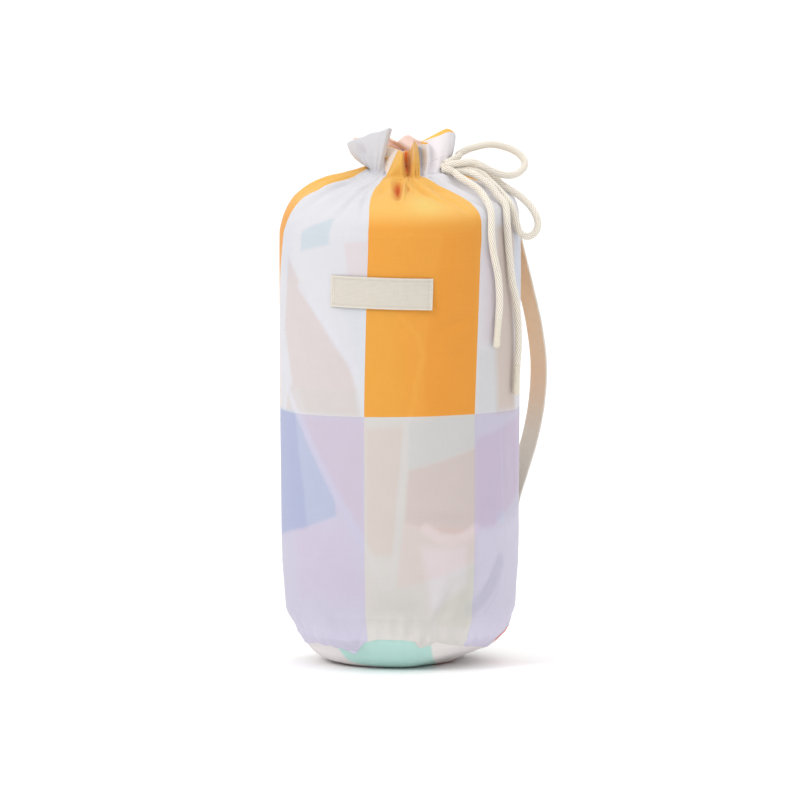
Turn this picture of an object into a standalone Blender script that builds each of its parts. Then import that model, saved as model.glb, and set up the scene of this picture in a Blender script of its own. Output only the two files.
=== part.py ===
"""A round drawstring carry bag with one webbing strap, filled with a folded sheet.

Metres, +Z up. The origin is the centre of the flat base, the front faces -Y and an azimuth is
measured from the front towards +X. The neck leans a little to +X and its front dips.
"""

import math

import bpy
from mathutils import Vector

# Cloth and gaps
CLOTH = 0.0012
FACING_CLOTH = 0.0008
GAP = 0.0003
COLUMNS = 48

# The body cloth's outer side, radius and height, from the base seam up to the frill's edge
BODY_PROFILE = [
    (0.0745, 0.0150),
    (0.0835, 0.0240),
    (0.0893, 0.0420),
    (0.0922, 0.0780),
    (0.0930, 0.1500),
    (0.0936, 0.2500),
    (0.0940, 0.3250),
    (0.0928, 0.3430),
    (0.0895, 0.3560),
    (0.0830, 0.3655),
    (0.0720, 0.3725),
    (0.0580, 0.3770),
    (0.0440, 0.3793),
    (0.0345, 0.3808),
    (0.0300, 0.3838),
    (0.0295, 0.3870),
    (0.0300, 0.3905),
    (0.0315, 0.3945),
    (0.0335, 0.4010),
    (0.0352, 0.4090),
]
SHOULDER_FOOT = 0.335
SHOULDER_RADII = (0.034, 0.090)
SHOULDER_SAG = 0.004
NECK_HEIGHT = 0.387
NECK_LEAN = 0.006
FRILL_TOP = 0.409
FRILL_LEAN = 0.003
NECK_TILT = 0.17
FRILL_TILT = 0.09
TILT_HEIGHTS = (0.330, 0.380)
FRILL_LOBES = 8
FRILL_DEPTH = 0.13
FRILL_EDGE_LOBES = 5
FRILL_EDGE_RISE = 0.0032

# The turned-in layer behind the frill, which closes the cord's tunnel
FACING_PROFILE = [
    (0.0325, 0.3775),
    (0.0245, 0.3800),
    (0.0215, 0.3850),
    (0.0215, 0.3900),
    (0.0240, 0.3950),
    (0.0272, 0.4005),
    (0.0298, 0.4060),
]

# The base, from the seam in to the middle
BASE_PROFILE = [
    (0.0742, 0.0147),
    (0.0680, 0.0080),
    (0.0600, 0.0030),
    (0.0500, 0.0000),
    (0.0000, 0.0000),
]
BASE_STEPS = 32
BINDING_SECTION = [(0.0725, 0.0163), (0.0725, 0.0152), (0.0670, 0.0152), (0.0670, 0.0163)]

# The folded sheet in the bag, from its top down
CONTENTS_PROFILE = [
    (0.0000, 0.3690),
    (0.0300, 0.3680),
    (0.0600, 0.3630),
    (0.0800, 0.3530),
    (0.0875, 0.3400),
    (0.0900, 0.3200),
    (0.0902, 0.2500),
    (0.0898, 0.1500),
    (0.0888, 0.0800),
    (0.0862, 0.0480),
    (0.0820, 0.0310),
    (0.0745, 0.0210),
    (0.0655, 0.0185),
    (0.0645, 0.0140),
    (0.0590, 0.0085),
    (0.0460, 0.0035),
    (0.0000, 0.0035),
]

# The drawstring
CORD = 0.0055
CORD_SPACING = 2.2 * CORD
TUNNEL_RADIUS = 0.0250
TUNNEL_BEND = 0.0050
TUNNEL_POINTS = 30
BEND_POINTS = 4
EXIT_AZIMUTH = math.radians(75)
EXIT_HALF_COLUMNS = 2
EXIT_ROWS = (14, 16)
STUB_OFFSET = 0.00295
STUB_END = 0.0337
BUTTONHOLE_TURN = math.radians(19)
BUTTONHOLE_RISE = 0.0043
BUTTONHOLE_POINTS = 20
KNOT_RADIUS = 0.0060
KNOT_LINE = [(0.0447, -0.0103, 0.3865), (0.0540, -0.0128, 0.3845)]
UPPER_LOOP = [
    (0.0568, -0.0148, 0.3930),
    (0.0635, -0.0146, 0.3905),
    (0.0718, -0.0110, 0.3850),
    (0.0840, -0.0050, 0.3805),
    (0.0928, 0.0060, 0.3815),
    (0.0975, 0.0120, 0.3877),
    (0.0936, 0.0160, 0.3947),
    (0.0842, 0.0180, 0.4000),
    (0.0702, 0.0140, 0.4030),
    (0.0546, 0.0080, 0.4000),
    (0.0462, 0.0015, 0.3962),
    (0.0452, -0.0042, 0.3945),
]
LOWER_LOOP = [
    (0.0620, -0.0075, 0.3838),
    (0.0718, -0.0035, 0.3770),
    (0.0842, -0.0020, 0.3695),
    (0.0952, -0.0030, 0.3610),
    (0.1037, -0.0070, 0.3510),
    (0.1076, -0.0130, 0.3410),
    (0.1053, -0.0190, 0.3335),
    (0.0990, -0.0240, 0.3305),
    (0.0928, -0.0295, 0.3345),
    (0.0903, -0.0367, 0.3447),
    (0.0867, -0.0364, 0.3566),
    (0.0796, -0.0270, 0.3665),
    (0.0702, -0.0190, 0.3755),
    (0.0628, -0.0160, 0.3822),
]
FRONT_END = [
    (0.0428, -0.0192, 0.3828),
    (0.0455, -0.0255, 0.3805),
    (0.0530, -0.0330, 0.3760),
    (0.0608, -0.0415, 0.3710),
    (0.0663, -0.0500, 0.3640),
    (0.0702, -0.0609, 0.3546),
    (0.0704, -0.0673, 0.3380),
    (0.0725, -0.0665, 0.3215),
    (0.0756, -0.0635, 0.3060),
    (0.0768, -0.0625, 0.2870),
    (0.0760, -0.0620, 0.2725),
]
FRONT_TIP_END = (0.0743, -0.0640, 0.2500)
REAR_END = [
    (0.0562, -0.0205, 0.3822),
    (0.0615, -0.0250, 0.3795),
    (0.0702, -0.0300, 0.3730),
    (0.0759, -0.0355, 0.3660),
    (0.0816, -0.0431, 0.3590),
    (0.0827, -0.0505, 0.3450),
    (0.0842, -0.0495, 0.3240),
    (0.0868, -0.0458, 0.3010),
    (0.0898, -0.0402, 0.2850),
    (0.0915, -0.0365, 0.2690),
    (0.0919, -0.0353, 0.2500),
    (0.0908, -0.0370, 0.2345),
]
REAR_TIP_END = (0.0898, -0.0390, 0.2110)
TIP_RADIUS = 0.0029
TIP_BLUNTNESS = 0.7
THREAD = 0.0004
UPPER_STITCH_HEIGHT = 0.3960
LOWER_STITCH_HEIGHT = 0.3815
ROUTE_STEPS = 16
QUARTER_CIRCLE = [math.radians(22.5 * step) for step in range(5)]

# The strap, radius and height in the plane of its own azimuth
STRAP_AZIMUTH = math.radians(118)
STRAP_WIDTH = 0.025
STRAP_THICKNESS = 0.002
STRAP_LIFT = 0.0030
STRAP_SHOULDER_RADII = (0.0430, 0.0580, 0.0720, 0.0800, 0.0860, 0.0905)
STRAP_SPACING = 0.009
STRAP_HINGE = (0.1043, 0.2310)
STRAP_UPPER_CUT = 0.3200
STRAP_LOWER_CUT = 0.1420
STRAP_UPPER_DROP = [(0.0985, 0.3400), (0.1043, STRAP_UPPER_CUT)]
STRAP_FREE = [
    (0.1043, STRAP_UPPER_CUT),
    (0.1130, 0.2880),
    (0.1190, 0.2580),
    (0.1215, 0.2280),
    (0.1190, 0.1980),
    (0.1130, 0.1700),
    (0.1043, STRAP_LOWER_CUT),
]
STRAP_LOWER = [
    (0.1043, STRAP_LOWER_CUT),
    (0.0985, 0.1220),
    (0.0957, 0.1000),
    (0.0947, 0.0700),
    (0.0917, 0.0450),
    (0.0872, 0.0265),
    (0.0825, 0.0190),
]
TACK_INSET = 0.004
TACK_LENGTH = 0.018

# Sewn-on and sewn-in pieces
LABEL_AZIMUTH = math.radians(-9.25)
LABEL_CENTRE = 0.2900
LABEL_SIZE = (0.082, 0.026)
LABEL_TURN = math.radians(-1.9)
LABEL_THICKNESS = 0.0008
LABEL_COLUMNS = 12
STITCH_INSET = 0.0025
STITCH_COLUMNS = 10
SEAM_AZIMUTH = STRAP_AZIMUTH
SEAM_WIDTH = 0.010
SEAM_RADIUS = 0.0919
SEAM_THICKNESS = 0.0007
SEAM_HEIGHTS = (0.085, 0.315)
SEAM_ROWS = 6


def clear_scene():
    for obj in list(bpy.data.objects):
        bpy.data.objects.remove(obj, do_unlink=True)


def new_collection(name):
    collection = bpy.data.collections.new(name)
    bpy.context.scene.collection.children.link(collection)
    return collection


def new_material(name, colour, roughness):
    material = bpy.data.materials.new(name)
    material.use_nodes = True
    shader = material.node_tree.nodes["Principled BSDF"]
    shader.inputs["Base Color"].default_value = (*colour, 1)
    shader.inputs["Roughness"].default_value = roughness
    shader.inputs["Metallic"].default_value = 0
    material.diffuse_color = (*colour, 1)
    return material


def add_object(name, data, material, origin=(0, 0, 0)):
    obj = bpy.data.objects.new(name, data)
    obj.location = origin
    data.materials.append(material)
    PARTS.objects.link(obj)
    return obj


def eased(low, high, value):
    """0 up to low, 1 from high on, and a smooth step between."""
    share = min(max((value - low) / (high - low), 0.0), 1.0)
    return share * share * (3.0 - 2.0 * share)


def between(table, value, key=1):
    """The other column of a table at this value of its key column, which rises."""
    other = 1 - key
    for low, high in zip(table, table[1:]):
        if value <= high[key]:
            share = (value - low[key]) / (high[key] - low[key])
            return low[other] + max(share, 0.0) * (high[other] - low[other])
    return table[-1][other]


def polar(radius, azimuth, height):
    return Vector((radius * math.sin(azimuth), -radius * math.cos(azimuth), height))


def on_body(radius, azimuth, height):
    """A point of the bag's leaning, tilted and slightly lopsided upper part."""
    open_share = eased(NECK_HEIGHT, FRILL_TOP, height)
    lean = NECK_LEAN * eased(SHOULDER_FOOT, NECK_HEIGHT, height)
    lean += (FRILL_LEAN - NECK_LEAN) * open_share
    point = polar(radius, azimuth, height) + Vector((lean, 0, 0))
    tilt = NECK_TILT * eased(*TILT_HEIGHTS, height) + (FRILL_TILT - NECK_TILT) * open_share
    point.z += tilt * point.y
    inner, outer = SHOULDER_RADII
    if height > SHOULDER_FOOT and inner < radius < outer:
        bulge = math.sin(math.pi * (radius - inner) / (outer - inner))
        point.z -= SHOULDER_SAG * bulge * math.sin(azimuth)
    return point


def frilled(radius, azimuth, height):
    """on_body with the frill's folds, which open out above the neck."""
    growth = eased(NECK_HEIGHT, FRILL_TOP, height)
    wave = math.cos(FRILL_LOBES * azimuth) + 0.25 * math.cos(3 * azimuth + 1)
    point = on_body(radius * (1 + FRILL_DEPTH * growth * wave), azimuth, height)
    point.z += FRILL_EDGE_RISE * growth * math.sin(FRILL_EDGE_LOBES * azimuth + 0.6)
    return point


def shade_smooth(obj):
    for polygon in obj.data.polygons:
        polygon.use_smooth = True


def add_solidify(obj, thickness):
    solidify = obj.modifiers.new("wall", "SOLIDIFY")
    solidify.thickness = thickness
    solidify.offset = -1
    solidify.use_even_offset = True


def ring_shell(name, profile, columns, thickness, material, open_faces=()):
    """A closed ring of cloth through a profile that runs upward, its wall grown inward."""
    step = 2 * math.pi / columns
    points = [frilled(r, step * c, z) for r, z in profile for c in range(columns)]
    faces = []
    for row in range(len(profile) - 1):
        for column in range(columns):
            if (row, column) in open_faces:
                continue
            a = row * columns + column
            b = row * columns + (column + 1) % columns
            faces.append((a, b, b + columns, a + columns))
    mesh = bpy.data.meshes.new(name)
    mesh.from_pydata(points, [], faces)
    obj = add_object(name, mesh, material)
    shade_smooth(obj)
    add_solidify(obj, thickness)
    return obj


def turned(name, profile, steps, material, closed=False):
    """A profile at +X turned round +Z. It runs down the outer side, top to bottom."""
    mesh = bpy.data.meshes.new(name)
    edges = [(i, i + 1) for i in range(len(profile) - 1)]
    if closed:
        edges.append((len(profile) - 1, 0))
    mesh.from_pydata([(r, 0, z) for r, z in profile], edges, [])
    obj = add_object(name, mesh, material)
    screw = obj.modifiers.new("turn", "SCREW")
    screw.steps = steps
    screw.render_steps = steps
    screw.use_merge_vertices = True
    screw.merge_threshold = 0.00001
    return obj


def smooth_route(points, spacing):
    """Points about this far apart on a Catmull-Rom curve through a route's own points."""
    route = [Vector(p) for p in points]
    knots = [2 * route[0] - route[1], *route, 2 * route[-1] - route[-2]]
    fine = []
    for a, b, c, d in zip(knots, knots[1:], knots[2:], knots[3:]):
        for step in range(ROUTE_STEPS):
            t = step / ROUTE_STEPS
            fine.append(
                0.5 * (2 * b + (c - a) * t + (2 * a - 5 * b + 4 * c - d) * t**2
                       + (3 * b - a - 3 * c + d) * t**3)
            )
    fine.append(route[-1])
    along = [0.0]
    for a, b in zip(fine, fine[1:]):
        along.append(along[-1] + (b - a).length)
    count = max(round(along[-1] / spacing), 2)
    even = []
    index = 0
    for step in range(count + 1):
        target = along[-1] * step / count
        while index < len(fine) - 2 and along[index + 1] < target:
            index += 1
        share = (target - along[index]) / (along[index + 1] - along[index])
        even.append(fine[index].lerp(fine[index + 1], min(share, 1.0)))
    return even


def tube(name, points, diameter, material, cyclic=False, origin=(0, 0, 0), resolution=2):
    """A round cord or thread through these points, which are in world coordinates."""
    curve = bpy.data.curves.new(name, "CURVE")
    curve.dimensions = "3D"
    curve.bevel_depth = diameter / 2
    curve.bevel_resolution = resolution
    curve.use_fill_caps = not cyclic
    spline = curve.splines.new("POLY")
    spline.points.add(len(points) - 1)
    for slot, point in zip(spline.points, points):
        slot.co = (*(Vector(point) - Vector(origin)), 1)
    spline.use_cyclic_u = cyclic
    return add_object(name, curve, material, origin)


def capsule(name, start, end, radius, steps, material, blunt=0.0):
    """A round-ended sleeve from start to end. A blunt share of its first end is left flat."""
    start, end = Vector(start), Vector(end)
    length = (end - start).length
    cap = radius * (1 - blunt)
    top = [(radius - cap + cap * math.sin(a), cap * math.cos(a) - cap) for a in QUARTER_CIRCLE]
    if blunt:
        top.insert(0, (0.0, 0.0))
    end_centre = radius - length
    bottom = [
        (radius * math.cos(a), end_centre - radius * math.sin(a)) for a in QUARTER_CIRCLE
    ]
    bottom[-1] = (0.0, -length)
    obj = turned(name, top + bottom, steps, material)
    obj.location = start
    obj.rotation_mode = "QUATERNION"
    obj.rotation_quaternion = (start - end).to_track_quat("Z", "Y")
    return obj


def body_cloth(material):
    """The printed tube of cloth, with the cord's exit left open at the neck."""
    exit_column = round(EXIT_AZIMUTH / (2 * math.pi / COLUMNS))
    opening = {
        (row, column)
        for row in range(*EXIT_ROWS)
        for column in range(exit_column - EXIT_HALF_COLUMNS, exit_column + EXIT_HALF_COLUMNS)
    }
    ring_shell("body_cloth", BODY_PROFILE, COLUMNS, CLOTH, material, opening)


def base_panel(material):
    panel = turned("base_panel", BASE_PROFILE, BASE_STEPS, material)
    add_solidify(panel, CLOTH)


def casing_thread(name, height, out, up, material):
    """A ring of stitching laid round the neck, this far out from the casing and up."""
    radius = between(BODY_PROFILE, height) + out
    azimuths = [2 * math.pi * c / COLUMNS for c in range(COLUMNS)]
    points = [frilled(radius, a, height + up) for a in azimuths]
    tube(name, points, 2 * THREAD, material, cyclic=True, resolution=0)


def buttonhole(material):
    """The worked edge round the cord's exit, an oblong laid on the neck."""
    points = []
    for step in range(BUTTONHOLE_POINTS):
        angle = 2 * math.pi * step / BUTTONHOLE_POINTS
        across = math.copysign(math.sqrt(abs(math.cos(angle))), math.cos(angle))
        up = math.copysign(math.sqrt(abs(math.sin(angle))), math.sin(angle))
        height = NECK_HEIGHT + BUTTONHOLE_RISE * up
        radius = between(BODY_PROFILE, height) + THREAD + 4 * GAP
        points.append(frilled(radius, EXIT_AZIMUTH + BUTTONHOLE_TURN * across, height))
    tube("cord_buttonhole", points, 3 * THREAD, material, cyclic=True, resolution=0)


def channel_run(material):
    """The cord inside the casing, whose two ends turn out side by side through the exit."""
    bend_across = STUB_OFFSET + TUNNEL_BEND
    bend_along = math.sqrt((TUNNEL_RADIUS + TUNNEL_BEND) ** 2 - bend_across**2)
    bend_start = math.atan2(bend_across, bend_along)
    stub = [(STUB_END, STUB_OFFSET), (0.5 * (STUB_END + bend_along), STUB_OFFSET)]
    for step in range(BEND_POINTS + 1):
        angle = (math.pi / 2 - bend_start) * step / BEND_POINTS
        along = bend_along - TUNNEL_BEND * math.sin(angle)
        across = bend_across - TUNNEL_BEND * math.cos(angle)
        stub.append((along, across))
    points = [(math.hypot(*p), EXIT_AZIMUTH + math.atan2(p[1], p[0])) for p in stub]
    for step in range(1, TUNNEL_POINTS):
        turn = bend_start + 2 * (math.pi - bend_start) * step / TUNNEL_POINTS
        points.append((TUNNEL_RADIUS, EXIT_AZIMUTH + turn))
    points += [(math.hypot(*p), EXIT_AZIMUTH - math.atan2(p[1], p[0])) for p in reversed(stub)]
    route = [on_body(radius, azimuth, NECK_HEIGHT) for radius, azimuth in points]
    tube("drawstring_channel_run", route, CORD, material)


def hinged_end(name, route, tip_name, tip_end, cord_material, tip_material):
    """One free end of the drawstring and its dipped tip. Their origin is where the end hinges."""
    origin = Vector(route[0])
    cord = tube(name, smooth_route(route, CORD_SPACING), CORD, cord_material, origin=origin)
    start = Vector(route[-1])
    direction = (Vector(tip_end) - start).normalized()
    tip = capsule(
        tip_name, start + direction * 2 * GAP, tip_end, TIP_RADIUS, 12, tip_material,
        TIP_BLUNTNESS,
    )
    tip.location -= origin
    tip.parent = cord


def bow(cord_material, tip_material):
    start, end = (Vector(p) for p in KNOT_LINE)
    reach = (end - start).normalized() * KNOT_RADIUS
    capsule("bow_knot", start - reach, end + reach, KNOT_RADIUS, 16, cord_material)
    tube("bow_loop_upper", smooth_route(UPPER_LOOP, CORD_SPACING), CORD, cord_material)
    tube("bow_loop_lower", smooth_route(LOWER_LOOP, CORD_SPACING), CORD, cord_material)
    hinged_end(
        "drawstring_end_front", FRONT_END, "end_tip_front", FRONT_TIP_END, cord_material,
        tip_material,
    )
    hinged_end(
        "drawstring_end_rear", REAR_END, "end_tip_rear", REAR_TIP_END, cord_material,
        tip_material,
    )


def ribbon_outline(path, half, level_start=False, level_end=False):
    """Both sides of a flat path, offset by half. A level end is cut along the horizontal."""
    sides = [[], []]
    for i, here in enumerate(path):
        before, after = path[max(i - 1, 0)], path[min(i + 1, len(path) - 1)]
        run = (after - before).normalized()
        across = Vector((run.y, -run.x))
        if (i == 0 and level_start) or (i == len(path) - 1 and level_end):
            across = Vector((1 / across.x, 0))
        sides[0].append(here + across * half)
        sides[1].append(here - across * half)
    return sides[0] + sides[1][::-1]


def strap_piece(name, path, material, level_start=False, level_end=False):
    """A run of webbing standing in the plane of the strap's azimuth, its origin on the hinge."""
    run = [p.to_2d() for p in smooth_route([(r, z, 0) for r, z in path], STRAP_SPACING)]
    centre = Vector(STRAP_HINGE)
    outline = ribbon_outline(run, STRAP_THICKNESS / 2, level_start, level_end)
    curve = bpy.data.curves.new(name, "CURVE")
    curve.dimensions = "2D"
    curve.fill_mode = "BOTH"
    curve.extrude = STRAP_WIDTH / 2
    spline = curve.splines.new("POLY")
    spline.points.add(len(outline) - 1)
    for slot, point in zip(spline.points, outline):
        slot.co = (point.x - centre.x, point.y - centre.y, 0, 1)
    spline.use_cyclic_u = True
    obj = add_object(name, curve, material, polar(centre.x, STRAP_AZIMUTH, centre.y))
    obj.rotation_euler = (math.pi / 2, 0, STRAP_AZIMUTH - math.pi / 2)
    return obj


def strap_shoulder_path():
    """The strap's run over the shoulder, as far off the cloth as the flat webbing needs."""
    shoulder = list(reversed(BODY_PROFILE[6:14]))
    on_cloth = []
    for radius in STRAP_SHOULDER_RADII:
        point = on_body(radius, STRAP_AZIMUTH, between(shoulder, radius, key=0))
        on_cloth.append(Vector((math.hypot(point.x, point.y), point.z)))
    raised = ribbon_outline(on_cloth, STRAP_LIFT + STRAP_THICKNESS / 2)
    return [tuple(p) for p in reversed(raised[len(on_cloth):])]


def strap(material):
    upper = strap_shoulder_path() + STRAP_UPPER_DROP
    upper[-1] = (upper[-1][0], upper[-1][1] + GAP / 2)
    free = [(r, z) for r, z in STRAP_FREE]
    free[0] = (free[0][0], free[0][1] - GAP / 2)
    free[-1] = (free[-1][0], free[-1][1] + GAP / 2)
    lower = [(r, z) for r, z in STRAP_LOWER]
    lower[0] = (lower[0][0], lower[0][1] - GAP / 2)
    strap_piece("strap_upper", upper, material, level_end=True)
    strap_piece("strap_free", free, material, level_start=True, level_end=True)
    strap_piece("strap_lower", lower, material, level_start=True)


def strap_tack(name, path, material):
    """A box of stitching on the strap's outer face, round the first stretch of its path."""
    run = [p.to_2d() for p in smooth_route([(r, z, 0) for r, z in path], TACK_LENGTH / 3)]
    lift = STRAP_THICKNESS / 2 + THREAD + GAP
    side = STRAP_WIDTH / 2 - TACK_INSET
    along = ribbon_outline(run[1:5], lift)[:4]
    tangent = Vector((math.cos(STRAP_AZIMUTH), math.sin(STRAP_AZIMUTH), 0))
    edge = [polar(p.x, STRAP_AZIMUTH, p.y) for p in along]
    points = [p - tangent * side for p in edge] + [p + tangent * side for p in reversed(edge)]
    tube(name, points, 2 * THREAD, material, cyclic=True, resolution=0)


def label_point(across, up, lift):
    """A point of the label from its own centre, turned and wrapped round the body."""
    x = across * math.cos(LABEL_TURN) - up * math.sin(LABEL_TURN)
    height = LABEL_CENTRE + across * math.sin(LABEL_TURN) + up * math.cos(LABEL_TURN)
    radius = between(BODY_PROFILE, height) + lift
    return polar(radius, LABEL_AZIMUTH + x / radius, height)


def label(material, thread_material):
    width, height = LABEL_SIZE
    lift = 1.5 * GAP + LABEL_THICKNESS
    points = []
    for up in (-height / 2, 0, height / 2):
        for column in range(LABEL_COLUMNS + 1):
            points.append(label_point(width * (column / LABEL_COLUMNS - 0.5), up, lift))
    row = LABEL_COLUMNS + 1
    faces = [
        (i, i + 1, i + 1 + row, i + row)
        for i in range(2 * row)
        if i % row != LABEL_COLUMNS
    ]
    mesh = bpy.data.meshes.new("label_patch")
    mesh.from_pydata(points, [], faces)
    add_solidify(add_object("label_patch", mesh, material), LABEL_THICKNESS)

    half_width = width / 2 - STITCH_INSET
    half_height = height / 2 - STITCH_INSET
    shares = [2 * column / STITCH_COLUMNS - 1 for column in range(STITCH_COLUMNS + 1)]
    bottom = [(half_width * share, -half_height) for share in shares]
    top = [(x, -y) for x, y in reversed(bottom)]
    over = lift + THREAD + GAP
    points = [label_point(x, y, over) for x, y in bottom + top]
    tube("label_stitching", points, 2 * THREAD, thread_material, cyclic=True, resolution=0)


def side_seam(material):
    """The bound seam allowance inside the cloth, behind the strap."""
    half_turn = SEAM_WIDTH / 2 / SEAM_RADIUS
    low, high = SEAM_HEIGHTS
    heights = [low + (high - low) * row / SEAM_ROWS for row in range(SEAM_ROWS + 1)]
    points = []
    for height in heights:
        for turn in (-half_turn, 0, half_turn):
            radius = between(BODY_PROFILE, height) - CLOTH - 2 * GAP
            points.append(polar(radius, SEAM_AZIMUTH + turn, height))
    faces = []
    for row in range(SEAM_ROWS):
        for column in range(2):
            a = 3 * row + column
            faces.append((a, a + 1, a + 4, a + 3))
    mesh = bpy.data.meshes.new("side_seam_binding")
    mesh.from_pydata(points, [], faces)
    add_solidify(add_object("side_seam_binding", mesh, material), SEAM_THICKNESS)


def build():
    print_cotton = new_material("printed_cotton", (0.86, 0.78, 0.72), 0.85)
    base_cotton = new_material("base_cotton", (0.56, 0.82, 0.76), 0.85)
    facing_cotton = new_material("facing_cotton", (0.90, 0.88, 0.88), 0.85)
    cord = new_material("cotton_cord", (0.88, 0.80, 0.66), 0.9)
    tip = new_material("dipped_cord_tip", (0.90, 0.83, 0.70), 0.55)
    webbing = new_material("cotton_webbing", (0.80, 0.68, 0.54), 0.9)
    thread = new_material("sewing_thread", (0.92, 0.90, 0.86), 0.8)
    canvas = new_material("label_canvas", (0.84, 0.80, 0.72), 0.9)
    tape = new_material("seam_tape", (0.90, 0.90, 0.88), 0.85)
    sheet = new_material("folded_sheet", (0.80, 0.72, 0.74), 0.9)

    body_cloth(print_cotton)
    base_panel(base_cotton)
    turned("base_seam_binding", BINDING_SECTION, BASE_STEPS, tape, closed=True)
    side_seam(tape)
    ring_shell("casing_facing", FACING_PROFILE, COLUMNS, FACING_CLOTH, facing_cotton)
    casing_thread("casing_stitch_upper", UPPER_STITCH_HEIGHT, 2.5 * THREAD, 0, thread)
    casing_thread("casing_stitch_lower", LOWER_STITCH_HEIGHT, 1.5 * THREAD, 2 * THREAD, thread)
    buttonhole(thread)
    channel_run(cord)
    bow(cord, tip)
    strap(webbing)
    strap_tack("strap_tack_upper", strap_shoulder_path(), thread)
    strap_tack("strap_tack_lower", list(reversed(STRAP_LOWER)), thread)
    label(canvas, thread)
    turned("packed_sheet", CONTENTS_PROFILE, BASE_STEPS, sheet)


clear_scene()
PARTS = new_collection("drawstring_bag")
build()
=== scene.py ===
"""The looks of a drawstring carry bag: gathered printed cotton, braided cord, webbing and label.

Metres, +Z up, the front faces -Y. An azimuth is measured from the front towards +X. A column of the
body cloth is named by its turn, the azimuth in degrees that it has on the straight body.
"""

import math

import bmesh
import bpy
import numpy as np
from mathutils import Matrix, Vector


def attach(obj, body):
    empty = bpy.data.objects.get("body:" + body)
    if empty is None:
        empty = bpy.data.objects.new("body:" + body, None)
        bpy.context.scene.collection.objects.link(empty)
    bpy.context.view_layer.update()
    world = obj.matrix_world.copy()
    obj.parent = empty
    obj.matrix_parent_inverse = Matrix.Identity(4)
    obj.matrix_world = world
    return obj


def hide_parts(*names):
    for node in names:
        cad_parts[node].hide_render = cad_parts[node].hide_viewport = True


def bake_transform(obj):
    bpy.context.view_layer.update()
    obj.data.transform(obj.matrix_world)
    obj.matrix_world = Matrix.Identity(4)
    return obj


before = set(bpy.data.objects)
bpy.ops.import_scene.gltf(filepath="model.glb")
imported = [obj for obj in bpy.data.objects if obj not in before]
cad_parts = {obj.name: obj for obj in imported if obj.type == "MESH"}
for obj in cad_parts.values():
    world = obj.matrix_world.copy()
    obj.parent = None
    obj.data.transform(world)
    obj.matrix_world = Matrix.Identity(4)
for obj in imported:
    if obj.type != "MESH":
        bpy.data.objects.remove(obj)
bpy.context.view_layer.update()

# ---------------------------------------------------------------- camera, floor and light

VIEW_ELEVATION = math.radians(5.2)
VIEW_DISTANCE = 6.0
VIEW_LENS = 346
VIEW_TARGET = Vector((0, 0, 0.204))
LIGHT_TARGET = Vector((0, 0, 0.2))
PAPER = (0.93, 0.93, 0.93)
SKY_HORIZON = 0.52
SKY_ZENITH = 1.55


def add_camera():
    data = bpy.data.cameras.new("camera")
    data.lens = VIEW_LENS
    data.sensor_width = 36
    data.clip_end = 60
    back = Vector((0, -math.cos(VIEW_ELEVATION), math.sin(VIEW_ELEVATION)))
    camera = bpy.data.objects.new("camera", data)
    bpy.context.scene.collection.objects.link(camera)
    camera.location = VIEW_TARGET + back * VIEW_DISTANCE
    camera.rotation_mode = "QUATERNION"
    camera.rotation_quaternion = (-back).to_track_quat("-Z", "Y")
    bpy.context.scene.camera = camera


def add_area_light(name, place, size, power):
    data = bpy.data.lights.new(name, "AREA")
    data.shape = "DISK"
    data.size = size
    data.energy = power
    light = bpy.data.objects.new(name, data)
    bpy.context.scene.collection.objects.link(light)
    light.location = place
    light.rotation_mode = "QUATERNION"
    light.rotation_quaternion = (Vector(place) - LIGHT_TARGET).to_track_quat("Z", "Y")


def add_sky():
    """An even studio sky that is brighter overhead than at the horizon."""
    world = bpy.data.worlds.new("studio")
    world.use_nodes = True
    tree = world.node_tree
    tree.nodes["Background"].inputs["Color"].default_value = (1, 1, 1, 1)
    direction = tree.nodes.new("ShaderNodeTexCoord").outputs["Generated"]
    split = tree.nodes.new("ShaderNodeSeparateXYZ")
    tree.links.new(direction, split.inputs[0])
    level = tree.nodes.new("ShaderNodeMapRange")
    level.inputs["From Min"].default_value = 0.0
    level.inputs["From Max"].default_value = 1.0
    level.inputs["To Min"].default_value = SKY_HORIZON
    level.inputs["To Max"].default_value = SKY_ZENITH
    tree.links.new(split.outputs[2], level.inputs["Value"])
    tree.links.new(level.outputs[0], tree.nodes["Background"].inputs["Strength"])
    bpy.context.scene.world = world


def add_stage():
    """A pale floor under a pale, even sky, a soft light from the left and a weaker one behind."""
    bpy.ops.mesh.primitive_plane_add(size=40, location=(0, 0, -0.0005))
    floor = bpy.context.object
    floor.name = "floor"
    material = bpy.data.materials.new("pale_floor")
    material.use_nodes = True
    shader = material.node_tree.nodes["Principled BSDF"]
    shader.inputs["Base Color"].default_value = (*PAPER, 1)
    shader.inputs["Roughness"].default_value = 0.9
    shader.inputs["Specular IOR Level"].default_value = 0.1
    floor.data.materials.append(material)
    add_sky()
    add_area_light("key", (-2.0, -1.8, 2.2), 0.9, 24)
    add_area_light("back", (0.8, 2.4, 2.0), 1.2, 8)
    bpy.context.scene.view_settings.view_transform = "Standard"


# ---------------------------------------------------------------- sizes and routes

# The neck, the shoulder, the cord and its two ends are as in the CAD part. The body's profile, the
# loops, the strap's line and the label lie a few millimetres from it, to follow the photo.

# Radius and height of the body cloth, from the base seam to the cord
BODY_PROFILE = [
    (0.0745, 0.0150), (0.0835, 0.0240), (0.0893, 0.0420), (0.0922, 0.0780), (0.0930, 0.1500),
    (0.0936, 0.2500), (0.0940, 0.3250), (0.0928, 0.3430), (0.0895, 0.3560), (0.0830, 0.3655),
    (0.0720, 0.3725), (0.0580, 0.3770), (0.0440, 0.3800), (0.0385, 0.3822), (0.0345, 0.3838),
    (0.0315, 0.3845), (0.0297, 0.3846), (0.0286, 0.3852), (0.0284, 0.3864),
]

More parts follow.
